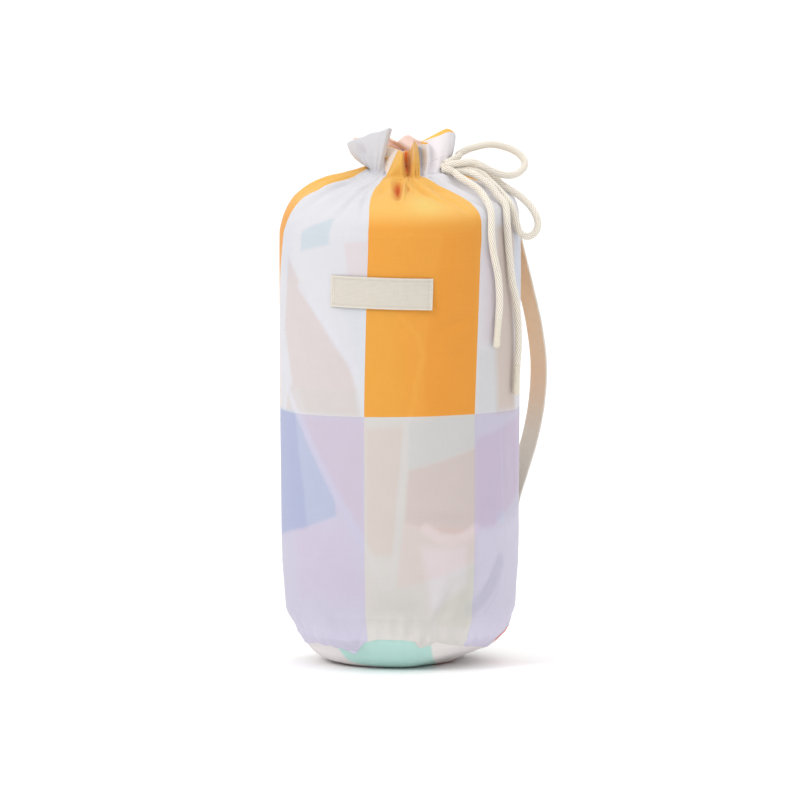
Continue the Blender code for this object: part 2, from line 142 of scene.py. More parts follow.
SHOULDER_FOOT = 0.335
SHOULDER_RADII = (0.034, 0.090)
SHOULDER_SAG = 0.004
NECK_HEIGHT = 0.387
NECK_RADIUS = 0.0284
NECK_LEAN = 0.006
NECK_TILT = 0.17
TILT_HEIGHTS = (0.330, 0.380)
LEVEL_RADII = (0.040, 0.058)

CORD = 0.0055
UPPER_LOOP = [
    (0.0568, -0.0148, 0.3908), (0.0635, -0.0146, 0.3880), (0.0718, -0.0110, 0.3834),
    (0.0840, -0.0050, 0.3798), (0.0928, 0.0060, 0.3815), (0.0975, 0.0120, 0.3877),
    (0.0936, 0.0160, 0.3947), (0.0842, 0.0180, 0.4000), (0.0702, 0.0140, 0.4030),
    (0.0546, 0.0080, 0.4000), (0.0462, 0.0015, 0.3962), (0.0452, -0.0042, 0.3945),
]
LOWER_LOOP = [
    (0.0620, -0.0075, 0.3838), (0.0718, -0.0035, 0.3770), (0.0842, -0.0020, 0.3695),
    (0.0952, -0.0030, 0.3620), (0.1035, -0.0070, 0.3530), (0.1072, -0.0130, 0.3435),
    (0.1050, -0.0190, 0.3365), (0.0990, -0.0240, 0.3335), (0.0930, -0.0295, 0.3370),
    (0.0903, -0.0367, 0.3447), (0.0867, -0.0364, 0.3566), (0.0796, -0.0270, 0.3665),
    (0.0702, -0.0190, 0.3755), (0.0628, -0.0160, 0.3822),
]
FRONT_END = [
    (0.0428, -0.0192, 0.3828), (0.0455, -0.0255, 0.3805), (0.0530, -0.0330, 0.3760),
    (0.0608, -0.0415, 0.3710), (0.0663, -0.0500, 0.3640), (0.0702, -0.0609, 0.3546),
    (0.0704, -0.0673, 0.3380), (0.0725, -0.0665, 0.3215), (0.0756, -0.0635, 0.3060),
    (0.0768, -0.0625, 0.2870), (0.0760, -0.0620, 0.2725),
]
FRONT_TIP_END = (0.0743, -0.0640, 0.2500)
REAR_END = [
    (0.0562, -0.0205, 0.3822), (0.0615, -0.0250, 0.3795), (0.0702, -0.0300, 0.3730),
    (0.0759, -0.0355, 0.3660), (0.0816, -0.0431, 0.3590), (0.0827, -0.0505, 0.3450),
    (0.0842, -0.0495, 0.3240), (0.0868, -0.0458, 0.3010), (0.0898, -0.0402, 0.2850),
    (0.0915, -0.0365, 0.2690), (0.0919, -0.0353, 0.2500), (0.0908, -0.0370, 0.2345),
]
REAR_TIP_END = (0.0898, -0.0390, 0.2110)

STRAP_TURN = 118
STRAP_AZIMUTH = math.radians(STRAP_TURN)
STRAP_WIDTH = 0.025
STRAP_THICKNESS = 0.002
# The strap's middle line: radius and height, down from the gathers and then free and sewn below
STRAP_SHOULDER = [
    (0.0435, 0.3860), (0.0590, 0.3850), (0.0745, 0.3800), (0.0840, 0.3735), (0.0900, 0.3640),
    (0.0950, 0.3540),
]
STRAP_RUN = [
    (0.0985, 0.3400), (0.1043, 0.3200), (0.1134, 0.2880), (0.1208, 0.2580), (0.1243, 0.2280),
    (0.1220, 0.1980), (0.1156, 0.1700), (0.1060, 0.1420), (0.0992, 0.1220), (0.0957, 0.1000),
    (0.0947, 0.0700), (0.0917, 0.0450), (0.0872, 0.0265), (0.0825, 0.0190),
]

LABEL_TURN = -9.25
LABEL_HEIGHT = 0.2946
LABEL_SIZE = (0.082, 0.0242)
LABEL_TILT = math.radians(-1.3)
LABEL_THICKNESS = 0.0008


# ---------------------------------------------------------------- small geometry helpers


def eased(low, high, value):
    share = np.clip((value - low) / (high - low), 0.0, 1.0)
    return share * share * (3.0 - 2.0 * share)


def bump_of(centre, half, value):
    """1 at the centre, falling smoothly to 0 half away."""
    return eased(half, 0.0, np.abs(value - centre))


def on_body(radius, azimuth, height):
    """Points of the bag's leaning, tilted and slightly lopsided upper part, up to the neck."""
    lean = NECK_LEAN * eased(SHOULDER_FOOT, NECK_HEIGHT, height)
    x = radius * np.sin(azimuth) + lean
    y = -radius * np.cos(azimuth)
    left = eased(0.9, -0.6, np.sin(azimuth)) * (y > 0)
    level = 1 - 0.85 * left * eased(*LEVEL_RADII, radius)
    z = height + NECK_TILT * eased(*TILT_HEIGHTS, height) * y * level
    inner, outer = SHOULDER_RADII
    bulge = np.sin(math.pi * np.clip((radius - inner) / (outer - inner), 0, 1))
    sag = SHOULDER_SAG * np.where(np.sin(azimuth) > 0, 1.0, 0.3)
    z = z - sag * bulge * np.sin(azimuth) * (height > SHOULDER_FOOT)
    return np.stack(np.broadcast_arrays(x, y, z), axis=-1)


def smooth_curve(points, spacing, steps=24):
    """Points this far apart on a Catmull-Rom curve through a route's own points."""
    route = np.array(points, float)
    knots = np.vstack([2 * route[0] - route[1], route, 2 * route[-1] - route[-2]])
    t = (np.arange(steps) / steps)[:, None]
    fine = [
        0.5 * (2 * b + (c - a) * t + (2 * a - 5 * b + 4 * c - d) * t**2
               + (3 * b - a - 3 * c + d) * t**3)
        for a, b, c, d in zip(knots, knots[1:], knots[2:], knots[3:])
    ]
    line = np.vstack([*fine, route[-1:]])
    return resampled(line, max(round(reach_along(line)[-1] / spacing), 2))[0]


def reach_along(line):
    """How far along a line each of its points lies. What a row holds after its point is ignored."""
    steps = np.linalg.norm(np.diff(line[:, :3], axis=0), axis=1)
    return np.concatenate([[0], np.cumsum(steps)])


def resampled(line, count):
    """The line cut into this many equal steps, and the distance along it of each point."""
    reach = reach_along(line)
    at = np.linspace(0, reach[-1], count + 1)
    return np.stack([np.interp(at, reach, column) for column in line.T], axis=1), at


def at_azimuth(radius, azimuth, height):
    """Points this far from the bag's axis, at this azimuth and height."""
    x, y = radius * np.sin(azimuth), -radius * np.cos(azimuth)
    return np.stack(np.broadcast_arrays(x, y, height), axis=-1)


def side_radius(height):
    """The radius of the bag's side at a height below the shoulder."""
    profile = np.array(BODY_PROFILE[:8])
    return np.interp(height, profile[:, 1], profile[:, 0])


def frames_along(path):
    """Unit tangent, side and up vectors at each point of a path, without any added twist."""
    tangents = np.gradient(path, axis=0)
    tangents /= np.linalg.norm(tangents, axis=1)[:, None]
    side = np.cross(tangents[0], (0.0, 0.0, 1.0))
    if np.linalg.norm(side) < 0.1:
        side = np.array((1.0, 0.0, 0.0))
    sides = []
    for tangent in tangents:
        side = side - tangent * (side @ tangent)
        side = side / np.linalg.norm(side)
        sides.append(side)
    sides = np.array(sides)
    return tangents, sides, np.cross(tangents, sides)


def new_object(name, points, faces, material, uv=None, tint=None, outward=False):
    """A smooth object. Its UV map and tint are optional, and outward turns its faces outward."""
    mesh = bpy.data.meshes.new(name)
    mesh.from_pydata(np.asarray(points).reshape(-1, 3).tolist(), [], faces)
    mesh.shade_smooth()
    mesh.materials.append(material)
    obj = bpy.data.objects.new(name, mesh)
    bpy.context.scene.collection.objects.link(obj)
    if outward:
        bm = bmesh.new()
        bm.from_mesh(mesh)
        bmesh.ops.recalc_face_normals(bm, faces=bm.faces)
        bm.to_mesh(mesh)
        bm.free()
    if uv is not None:
        add_uv(mesh, np.asarray(uv).reshape(-1, 2))
    if tint is not None:
        add_tint(mesh, tint)
    return obj


def grid_faces(rows, columns, closed, first=0):
    """Faces between neighbouring rows of points, as lists of their corners."""
    index = first + np.arange(rows * columns).reshape(rows, columns)
    right = np.roll(index, -1, axis=1)
    faces = np.stack([index[:-1], right[:-1], right[1:], index[1:]], axis=-1)
    return (faces if closed else faces[:, :-1]).reshape(-1, 4).tolist()


def tube_faces(rows, columns, first=0):
    """Faces of a grid that is closed round, with one flat face at each end."""
    start = list(range(first, first + columns))
    end = list(range(first + (rows - 1) * columns, first + rows * columns))
    return [*grid_faces(rows, columns, closed=True, first=first), start[::-1], end]


def flipped(faces):
    return [face[::-1] for face in faces]


def add_uv(mesh, pairs):
    """A UV map named cloth, in metres: a pair for each point, or for each corner of the first faces."""
    if len(pairs) == len(mesh.vertices):
        index = np.empty(len(mesh.loops), np.int32)
        mesh.loops.foreach_get("vertex_index", index)
        pairs = pairs[index]
    full = np.zeros((len(mesh.loops), 2), np.float32)
    full[: len(pairs)] = pairs
    mesh.uv_layers.new(name="cloth").data.foreach_set("uv", full.ravel())


def at_corners(values):
    """What each corner of each grid face gets from a value for every row and column of points."""
    return np.stack([values[:-1, :-1], values[:-1, 1:], values[1:, 1:], values[1:, :-1]], axis=2)


def grid_uv(us, vs):
    """Corner coordinates of grid faces from the columns' us, one more than faces, and rows' vs."""
    return at_corners(np.stack(np.meshgrid(us, vs), axis=-1))


def add_tint(mesh, tint):
    """A colour attribute named tint, one colour for each vertex."""
    layer = mesh.color_attributes.new(name="tint", type="FLOAT_COLOR", domain="POINT")
    full = np.ones((len(mesh.vertices), 4), np.float32)
    full[:, :3] = np.asarray(tint).reshape(-1, 3)
    layer.data.foreach_set("color", full.ravel())


# ---------------------------------------------------------------- materials


def srgb(red, green, blue):
    """Linear values of a colour given as 0 to 255 on a screen."""
    def linear(level):
        share = level / 255
        return share / 12.92 if share <= 0.04045 else ((share + 0.055) / 1.055) ** 2.4
    return (linear(red), linear(green), linear(blue), 1)


class Nodes:
    """A short way to wire one material's nodes."""

    def __init__(self, name, roughness=0.85, sheen=0.25, specular=0.25):
        self.material = bpy.data.materials.new(name)
        self.material.use_nodes = True
        self.tree = self.material.node_tree
        self.shader = self.tree.nodes["Principled BSDF"]
        self.shader.inputs["Roughness"].default_value = roughness
        self.shader.inputs["Sheen Weight"].default_value = sheen
        self.shader.inputs["Sheen Roughness"].default_value = 0.5
        self.shader.inputs["Specular IOR Level"].default_value = specular

    def link(self, value, socket):
        if isinstance(value, bpy.types.NodeSocket):
            self.tree.links.new(value, socket)
        else:
            socket.default_value = value

    def math(self, operation, first, second=0.0, third=0.0):
        node = self.tree.nodes.new("ShaderNodeMath")
        node.operation = operation
        for value, socket in zip((first, second, third), node.inputs):
            self.link(value, socket)
        return node.outputs[0]

    def mix(self, share, first, second, blend="MIX"):
        node = self.tree.nodes.new("ShaderNodeMix")
        node.data_type = "RGBA"
        node.blend_type = blend
        self.link(share, node.inputs["Factor"])
        self.link(first, node.inputs[6])
        self.link(second, node.inputs[7])
        return node.outputs[2]

    def uv(self):
        node = self.tree.nodes.new("ShaderNodeUVMap")
        node.uv_map = "cloth"
        return node.outputs[0]

    def attribute(self, name):
        node = self.tree.nodes.new("ShaderNodeVertexColor")
        node.layer_name = name
        return node.outputs["Color"]

    def between(self, value, low, high):
        """0 below low, 1 above high, smooth between them."""
        node = self.tree.nodes.new("ShaderNodeMapRange")
        node.interpolation_type = "SMOOTHSTEP"
        node.inputs["From Min"].default_value = low
        node.inputs["From Max"].default_value = high
        self.tree.links.new(value, node.inputs["Value"])
        return node.outputs[0]

    def split(self, vector):
        node = self.tree.nodes.new("ShaderNodeSeparateXYZ")
        self.tree.links.new(vector, node.inputs[0])
        return node.outputs[0], node.outputs[1]

    def scaled(self, vector, scale):
        node = self.tree.nodes.new("ShaderNodeMapping")
        node.inputs["Scale"].default_value = scale
        self.tree.links.new(vector, node.inputs["Vector"])
        return node.outputs[0]

    def noise(self, vector, scale, detail=3.0):
        node = self.tree.nodes.new("ShaderNodeTexNoise")
        node.inputs["Scale"].default_value = scale
        node.inputs["Detail"].default_value = detail
        self.tree.links.new(vector, node.inputs["Vector"])
        return node.outputs[0]

    def weave(self, vector, warp_pitch, weft_pitch):
        """Height of a plain weave, 0 to 1, from sine ribs both ways."""
        across, along = self.split(vector)
        a = self.math("SINE", self.math("MULTIPLY", across, math.pi / warp_pitch))
        b = self.math("SINE", self.math("MULTIPLY", along, math.pi / weft_pitch))
        crossing = self.math("MULTIPLY", a, b)
        return self.math("ABSOLUTE", crossing)

    def bump(self, height, distance, strength=1.0, normal=None):
        node = self.tree.nodes.new("ShaderNodeBump")
        node.inputs["Strength"].default_value = strength
        node.inputs["Distance"].default_value = distance
        self.tree.links.new(height, node.inputs["Height"])
        if normal is not None:
            self.tree.links.new(normal, node.inputs["Normal"])
        return node.outputs[0]

    def shaded(self, colour, shade):
        """The colour multiplied by a shade of grey."""
        grey = self.tree.nodes.new("ShaderNodeCombineColor")
        for socket in grey.inputs[:3]:
            self.link(shade, socket)
        return self.mix(1.0, colour, grey.outputs[0], "MULTIPLY")

    def finish(self, colour, normal):
        self.link(colour, self.shader.inputs["Base Color"])
        self.tree.links.new(normal, self.shader.inputs["Normal"])
        return self.material


COLUMN_WIDTH = 0.0923
ROW_HEIGHT = 0.2585
AMBER = srgb(221, 151, 60)
# Amber with a painted highlight, for where the shoulder faces the light from above
AMBER_HIGHLIGHT = srgb(226, 174, 86)
WHITE = srgb(206, 205, 209)
OFF_WHITE = srgb(200, 196, 192)
LILAC = srgb(190, 185, 202)
# The white upper row, seen inside the hem, painted pinkish: a painted reflection of the amber cloth
WARM_LIT_WHITE = srgb(234, 206, 196)


def cloth_weave(nodes, uv, colour):
    """Poplin: a fine weave, threads that vary in thickness, and faint mottling of the dye."""
    fine = nodes.weave(uv, 0.00042, 0.00050)
    warp_slub = nodes.noise(nodes.scaled(uv, (1400, 60, 1)), 1.0, 2.0)
    weft_slub = nodes.noise(nodes.scaled(uv, (60, 1400, 1)), 1.0, 2.0)
    slub = nodes.math("ADD", warp_slub, weft_slub)
    mottle = nodes.noise(uv, 38.0, 4.0)
    shade = nodes.math("MULTIPLY_ADD", slub, 0.06, 0.94)
    shade = nodes.math("MULTIPLY_ADD", mottle, 0.05, nodes.math("SUBTRACT", shade, 0.025))
    colour = nodes.shaded(colour, shade)
    normal = nodes.bump(fine, 0.00005, 0.8)
    normal = nodes.bump(slub, 0.00010, 0.5, normal)
    normal = nodes.bump(nodes.noise(uv, 160.0, 3.0), 0.00025, 0.25, normal)
    return colour, normal


def print_material():
    """The check print: columns and rows of the cloth, times a tint of what lies behind it and of
    painted light and shade.
    """
    nodes = Nodes("printed_cotton", 0.82, 0.15)
    uv = nodes.uv()
    across, along = nodes.split(uv)
    column = nodes.math("FLOOR", nodes.math("DIVIDE", across, COLUMN_WIDTH))
    row = nodes.math("FLOOR", nodes.math("DIVIDE", along, ROW_HEIGHT))
    total = nodes.math("ADD", column, row)
    odd = nodes.math("PINGPONG", total, 1.0)
    lower = nodes.math("LESS_THAN", row, -0.5)
    upper = nodes.math("GREATER_THAN", row, 0.5)
    # The amber turns to its painted highlight colour up the shoulder
    amber = nodes.mix(nodes.between(along, 0.148, 0.178), AMBER, AMBER_HIGHLIGHT)
    even_colour = nodes.mix(lower, amber, LILAC)
    # The upper row's white carries the painted reflection of the amber
    odd_colour = nodes.mix(upper, nodes.mix(lower, WHITE, OFF_WHITE), WARM_LIT_WHITE)
    colour = nodes.mix(odd, even_colour, odd_colour)
    colour = nodes.mix(1.0, colour, nodes.attribute("tint"), "MULTIPLY")
    return nodes.finish(*cloth_weave(nodes, uv, colour))


def base_material():
    nodes = Nodes("base_cotton", 0.82, 0.15)
    uv = nodes.uv()
    return nodes.finish(*cloth_weave(nodes, uv, nodes.attribute("tint")))


def plain_cloth(name, colour, pitch, depth, contrast=0.1, tinted=False):
    """A plain woven cloth on the UV map, such as canvas or webbing, with its mesh's tint or not."""
    nodes = Nodes(name, 0.88, 0.2)
    uv = nodes.uv()
    weave = nodes.weave(uv, pitch, pitch * 1.15)
    mottle = nodes.noise(uv, 220.0, 4.0)
    shade = nodes.math("MULTIPLY_ADD", weave, contrast, 1.0 - contrast * 0.7)
    shade = nodes.math("MULTIPLY_ADD", mottle, 0.10, nodes.math("SUBTRACT", shade, 0.05))
    result = nodes.shaded(colour, shade)
    if tinted:
        result = nodes.mix(1.0, result, nodes.attribute("tint"), "MULTIPLY")
    normal = nodes.bump(weave, depth, 0.9)
    normal = nodes.bump(mottle, depth, 0.4, normal)
    return nodes.finish(result, normal)


def cord_material():
    """Braided cotton: painted shade darkens the hollows between the strands, and its fibres are fine
    and fuzzy.
    """
    nodes = Nodes("cotton_cord", 0.9, 0.35)
    uv = nodes.uv()
    fibre = nodes.noise(nodes.scaled(uv, (4000, 900, 1)), 1.0, 2.0)
    # The tint runs from the painted shade of the hollows to the cord's own colour
    colour = nodes.mix(nodes.attribute("tint"), srgb(128, 106, 76), srgb(249, 243, 231))
    shade = nodes.math("MULTIPLY_ADD", fibre, 0.16, 0.92)
    colour = nodes.shaded(colour, shade)
    return nodes.finish(colour, nodes.bump(fibre, 0.00008, 0.8))


def thread_material(name, colour):
    nodes = Nodes(name, 0.6, 0.3)
    coordinates = nodes.tree.nodes.new("ShaderNodeTexCoord").outputs["Object"]
    ply = nodes.noise(coordinates, 3000.0, 2.0)
    shade = nodes.mix(ply, colour, tuple(0.82 * c for c in colour[:3]) + (1,))
    return nodes.finish(shade, nodes.bump(ply, 0.00005, 0.6))


def tip_material():
    """Cord end dipped in a clear coat, smooth with faint strands under it."""
    nodes = Nodes("dipped_tip", 0.42, 0.05, 0.4)
    coordinates = nodes.tree.nodes.new("ShaderNodeTexCoord").outputs["Object"]
    cloud = nodes.noise(coordinates, 420.0, 3.0)
    colour = nodes.mix(cloud, srgb(224, 217, 202), srgb(212, 203, 186))
    return nodes.finish(colour, nodes.bump(cloud, 0.00015, 0.4))


# ---------------------------------------------------------------- the body cloth

COLUMNS = 432
SEAM_TURN = STRAP_TURN
TURNS = np.linspace(SEAM_TURN - 360, SEAM_TURN, COLUMNS, endpoint=False)
BODY_RADIUS = 0.0936
ROW_LINE_HEIGHT = 0.198
FIRST_COLUMN_TURN = -17.2
FRILL_CLOTH = 0.028
HEM_LAYER = 0.0010

# Each turn of the cloth, the turn that it has at the cord, and its radius there in millimetres
NECK_TABLE = [
    (-242, -248, 29.0), (-186, -190, 29.5), (-130, -138, 29.0), (-100, -109, 29.5),
    (-84, -95, 30.0), (-73.7, -86, 29.6), (-57, -68, 30.4), (-47, -55, 30.4), (-40, -48, 29.4),
    (-34, -44, 26.0), (-28, -42, 25.5), (-22, -38, 28.0), (-17.2, -34, 29.6), (-14, -29, 30.8),
    (-9, -19, 31.2), (-4, -7.5, 30.8), (0, -3.5, 28.0), (4, -0.5, 24.0), (8, 1.5, 23.0),
    (12, 3, 24.5), (16, 5, 28.0), (20, 8, 30.4), (28, 13.5, 31.0), (36, 18.5, 30.6), (40, 20.5, 28.5),
    (45, 23, 25.5), (50, 28, 28.8), (56, 36, 29.4), (60, 40, 27.0), (66, 49, 29.2), (74, 63, 30.0),
    (84, 76, 29.0), (96, 90, 28.8), (106, 101, 27.5), (118, 112, 29.0),
]

# The frill's folded top edge: the cloth's turn there, and its place in millimetres
EDGE_TABLE = [
    (-242, 13, 27, 405.5), (-236, 7.5, 30, 409.0), (-229, 2, 27, 407.0), (-221, -1.5, 19, 405.0),
    (-212, -5, 24, 406.0), (-203, -9, 32, 407.0), (-194, -15, 33, 406.5), (-186, -20, 27, 405.0),
    (-178, -20, 18, 404.5), (-170, -26, 21, 405.5), (-160, -33, 24, 407.0), (-149, -37, 17, 406.0),
    (-138, -31, 9, 402.0), (-126, -35, 12, 401.5), (-113, -39, 11, 401.2), (-100, -40.5, 7, 402.2),
    (-87, -41, 2, 403.2), (-79, -41, -4, 404.5), (-72, -38, -9, 406.8), (-65, -32.5, -14, 409.0),
    (-57, -24, -19, 412.2), (-49, -14.5, -22, 415.2), (-42, -7.5, -21, 417.2),
    (-38.5, -6.2, -16, 415.5), (-35, -9.0, -12, 412.0), (-31, -12.0, -10, 408.5),
    (-26, -12.0, -8, 405.5), (-22, -8.0, -10, 402.5), (-18, -2.5, -17, 400.5),
    (-14.5, 0.8, -25, 399.6), (-9, 1.6, -29, 399.4), (-4, 2.6, -28, 399.2), (0, 3.2, -17, 398.8),
    (4, 3.9, -5, 398.4), (8, 5.0, 1, 398.2), (12, 6.4, -5, 398.8), (16, 7.8, -17, 401.0),
    (20, 9.6, -26, 405.0), (24, 10.9, -29, 407.8), (28, 11.6, -26, 407.2), (33, 12.6, -20, 405.6),
    (39, 13.8, -12, 403.6), (44, 14.5, -7, 403.0), (49, 17.5, -14, 404.4), (53, 21.0, -19, 405.0),
    (57, 22, -13, 405.0), (61, 17, -7, 406.5), (67, 27, -9, 411.5), (74, 36.5, -9, 416.0),
    (80, 42, -4, 413.5), (87, 43.2, 3, 408.0), (94, 40, 10, 404.5), (101, 33, 14, 405.5),
    (108, 24, 18, 405.5), (118, 13, 27, 405.5),
]

# Creases of the cloth: both ends (turn, height along the cloth), depth and half width
HAND_CREASES = [
    ((-5.2, 0.2230), (-4.8, 0.1910), 0.0068, 0.0019), ((1.0, 0.2170), (4.0, 0.2060), 0.0016, 0.0020),
    ((13.0, 0.2180), (27.0, 0.1790), 0.0013, 0.0026), ((24.0, 0.2180), (36.0, 0.1660), 0.0012, 0.0026),
    ((-9.0, 0.2150), (-12.0, 0.1960), 0.0018, 0.0030), ((17.0, 0.2170), (20.0, 0.2000), 0.0022, 0.0028),
    ((30.0, 0.2160), (33.0, 0.1990), 0.0016, 0.0028),
    ((-28.0, 0.2150), (-31.0, 0.1750), 0.0016, 0.0040),
    ((-38.0, 0.2160), (-45.0, 0.1600), 0.0016, 0.0050),
    ((-48.0, 0.2080), (-64.0, 0.1570), 0.0018, 0.0045),
    ((-57.0, 0.2160), (-60.0, 0.1850), 0.0016, 0.0040),
    ((48.0, 0.2160), (52.0, 0.1650), 0.0018, 0.0050),
    ((62.0, 0.2160), (66.0, 0.1700), 0.0016, 0.0050),
    ((-76.0, 0.2180), (-79.0, 0.1700), 0.0012, 0.0050),
]
BODY_CREASES = [
    ((27.0, -0.128), (17.5, -0.176), 0.0011, 0.0045), ((56.5, -0.112), (40.0, -0.150), 0.0016, 0.0048),
    ((-62.0, -0.100), (-46.0, -0.165), 0.0007, 0.0080),
    ((-35.0, -0.155), (-32.0, -0.178), 0.0012, 0.0040),
    ((16.0, 0.066), (37.0, 0.078), 0.0011, 0.0045), ((24.0, 0.050), (34.0, 0.046), 0.0007, 0.0040),
    ((8.0, -0.078), (40.0, -0.084), 0.0012, 0.0050), ((-12.0, -0.150), (6.0, -0.155), 0.0007, 0.0060),
    ((5.0, -0.120), (8.0, -0.176), 0.0006, 0.0060), ((-200.0, 0.080), (-180.0, -0.060), 0.0008, 0.0080),
    ((-120.0, 0.100), (-112.0, -0.100), 0.0008, 0.0080),
    ((80.0, 0.080), (86.0, -0.080), 0.0008, 0.0080),
    ((-150.0, -0.060), (-165.0, -0.160), 0.0010, 0.0070),
    ((-225.0, -0.080), (-210.0, -0.160), 0.0009, 0.007),
    ((-60.0, 0.110), (-40.0, 0.040), 0.0005, 0.0080), ((66.0, -0.020), (72.0, -0.060), 0.0008, 0.0060),
]


def table_at(table, values, column):
    """One column of a table that rises in its first, on a smooth curve through its points."""
    rows = np.array(table, float)
    keys, wanted = rows[:, 0], rows[:, column]
    slopes = np.gradient(wanted, keys)
    slopes[0] = slopes[-1] = 0.5 * (slopes[0] + slopes[-1])
    i = np.clip(np.searchsorted(keys, values, side="right") - 1, 0, len(keys) - 2)
    width = keys[i + 1] - keys[i]
    t = (values - keys[i]) / width
    return (
        wanted[i] * (1 + 2 * t) * (1 - t) ** 2 + slopes[i] * width * t * (1 - t) ** 2
        + wanted[i + 1] * t * t * (3 - 2 * t) + slopes[i + 1] * width * t * t * (t - 1)
    )


def waves(values, period, cycles, seed):
    """Smooth random waves between about -1 and 1 that repeat after one period."""
    random = np.random.default_rng(seed)
    total = np.zeros_like(values, dtype=float)
    for cycle in cycles:
        phase, size = random.uniform(0, 2 * math.pi), random.uniform(0.6, 1.0)
        total += size * np.sin(2 * math.pi * cycle * values / period + phase)
    return total / math.sqrt(len(cycles))


def body_rows():
    """Radius, height and distance along the cloth of each row, closer together at the neck."""
    line = smooth_curve(BODY_PROFILE, 0.0003)
    along = reach_along(line)
    radius, height = line[:, 0], line[:, 1]
    spacing = np.where(height < 0.06, 0.0015, 0.0018)
    spacing = np.where(height > 0.315, 0.0012, spacing)
    spacing = np.where((radius < 0.045) & (height > 0.3), 0.0006, spacing)
    count = np.concatenate([[0], np.cumsum(np.diff(along) / spacing[1:])])
    at = np.linspace(0, count[-1], int(count[-1]) + 1)
    rows = np.stack([np.interp(at, count, c) for c in (radius, height, along)], axis=1)
    line_at = np.interp(ROW_LINE_HEIGHT, height, along)
    rows[:, 2] -= line_at
    return rows


# The base seam's height in millimetres at each turn
SEAM_TABLE = [
    (-242, 18), (-215, 15), (-190, 18), (-160, 16), (-130, 19), (-105, 16), (-92, 14.5), (-82, 14.8),
    (-70, 16.0), (-62, 17.6), (-55, 18.2), (-49, 17.6), (-40, 17.0), (-33, 15.0),
    (-27.5, 13.2), (-24, 17.0),
    (-20, 22.0), (-17, 24.2), (-12, 25.4), (-2, 25.6), (4, 25.0), (7.5, 23.8), (11.5, 18.4),
    (15, 20.0), (18, 22.8), (24, 21.6), (32, 19.6), (41, 18.0), (52, 16.0), (62, 14.6),
    (66, 14.8), (69.5, 22.0), (74, 26.2), (80, 28.4), (88, 27.5), (98, 23.0), (108, 20), (118, 18),
]


def seam_height():
    """The height of the base seam below each column of the cloth."""
    heights = table_at(SEAM_TABLE, TURNS, 1) / 1000
    return heights + 0.0004 * waves(TURNS, 360, (31, 43, 57), 11)


def crease_relief(relief, across, along, narrowing, crease):
    """Presses one crease into the relief: deepest in its middle, with a low ridge either side."""
    (turn_a, along_a), (turn_b, along_b), depth, width = crease
    start = math.radians(turn_a) * BODY_RADIUS
    dx = math.radians(turn_b - turn_a) * BODY_RADIUS
    dy = along_b - along_a
    circumference = 2 * math.pi * BODY_RADIUS
    x = across - start
    x = (x - dx / 2 + circumference / 2) % circumference - circumference / 2 + dx / 2
    y = along - along_a
    t = np.clip((x * dx + y * dy) / (dx * dx + dy * dy), 0, 1)
    far = np.hypot((x - t * dx) * narrowing, y - t * dy) / width
    fade = np.sin(math.pi * np.clip(0.08 + 0.84 * t, 0, 1))
    relief -= depth * fade * np.exp(-far * far)
    relief += 0.45 * depth * fade * np.exp(-((far - 1.9) / 0.9) ** 2)


def shoulder_creases():
    """Short creases that run out from the gathers all round, each with its own reach."""
    random = np.random.default_rng(5)
    creases = []
    turn = -240.0
    while turn < 116:
        reach = random.uniform(0.018, 0.060)
        depth = random.uniform(0.0008, 0.0020)
        if not -22 < turn < 42:
            drift = random.uniform(-6, 6)
            creases.append(((turn, 0.2200), (turn + drift, 0.2200 - reach), depth,
                            random.uniform(0.0026, 0.0045)))
        turn += random.uniform(6.5, 12.0)
    return creases


def seam_creases():
    """Small puckers that rise from the base seam."""
    random = np.random.default_rng(9)
    creases = []
    turn = -241.0
    while turn < 117:
        reach = random.uniform(0.008, 0.030)
        creases.append(((turn, -0.186), (turn + random.uniform(-3, 3), -0.186 + reach),
                        random.uniform(0.0004, 0.0011), random.uniform(0.0022, 0.0042)))
        turn += random.uniform(5.0, 10.0)
    return creases


def neck_turn(turns):
    return table_at(NECK_TABLE, turns, 1)


def tucked_corner(height):
    """How far the left lower corner of the bag is pulled in at each column."""
    return 0.0035 * (bump_of(0.026, 0.014, height) * bump_of(-82, 45, TURNS))


def fine_pleats(turns):
    """The small gathers at the cord: rounded ridges with sharp valleys, uneven in width."""
    bent = turns + 1.6 * waves(turns, 360, (9, 14, 23), 3)
    ridge = np.abs(np.sin(math.radians(1) * bent * 23))
    size = 1.0 + 0.45 * waves(turns, 360, (5, 8, 13), 4)
    return (ridge - 0.64) * size


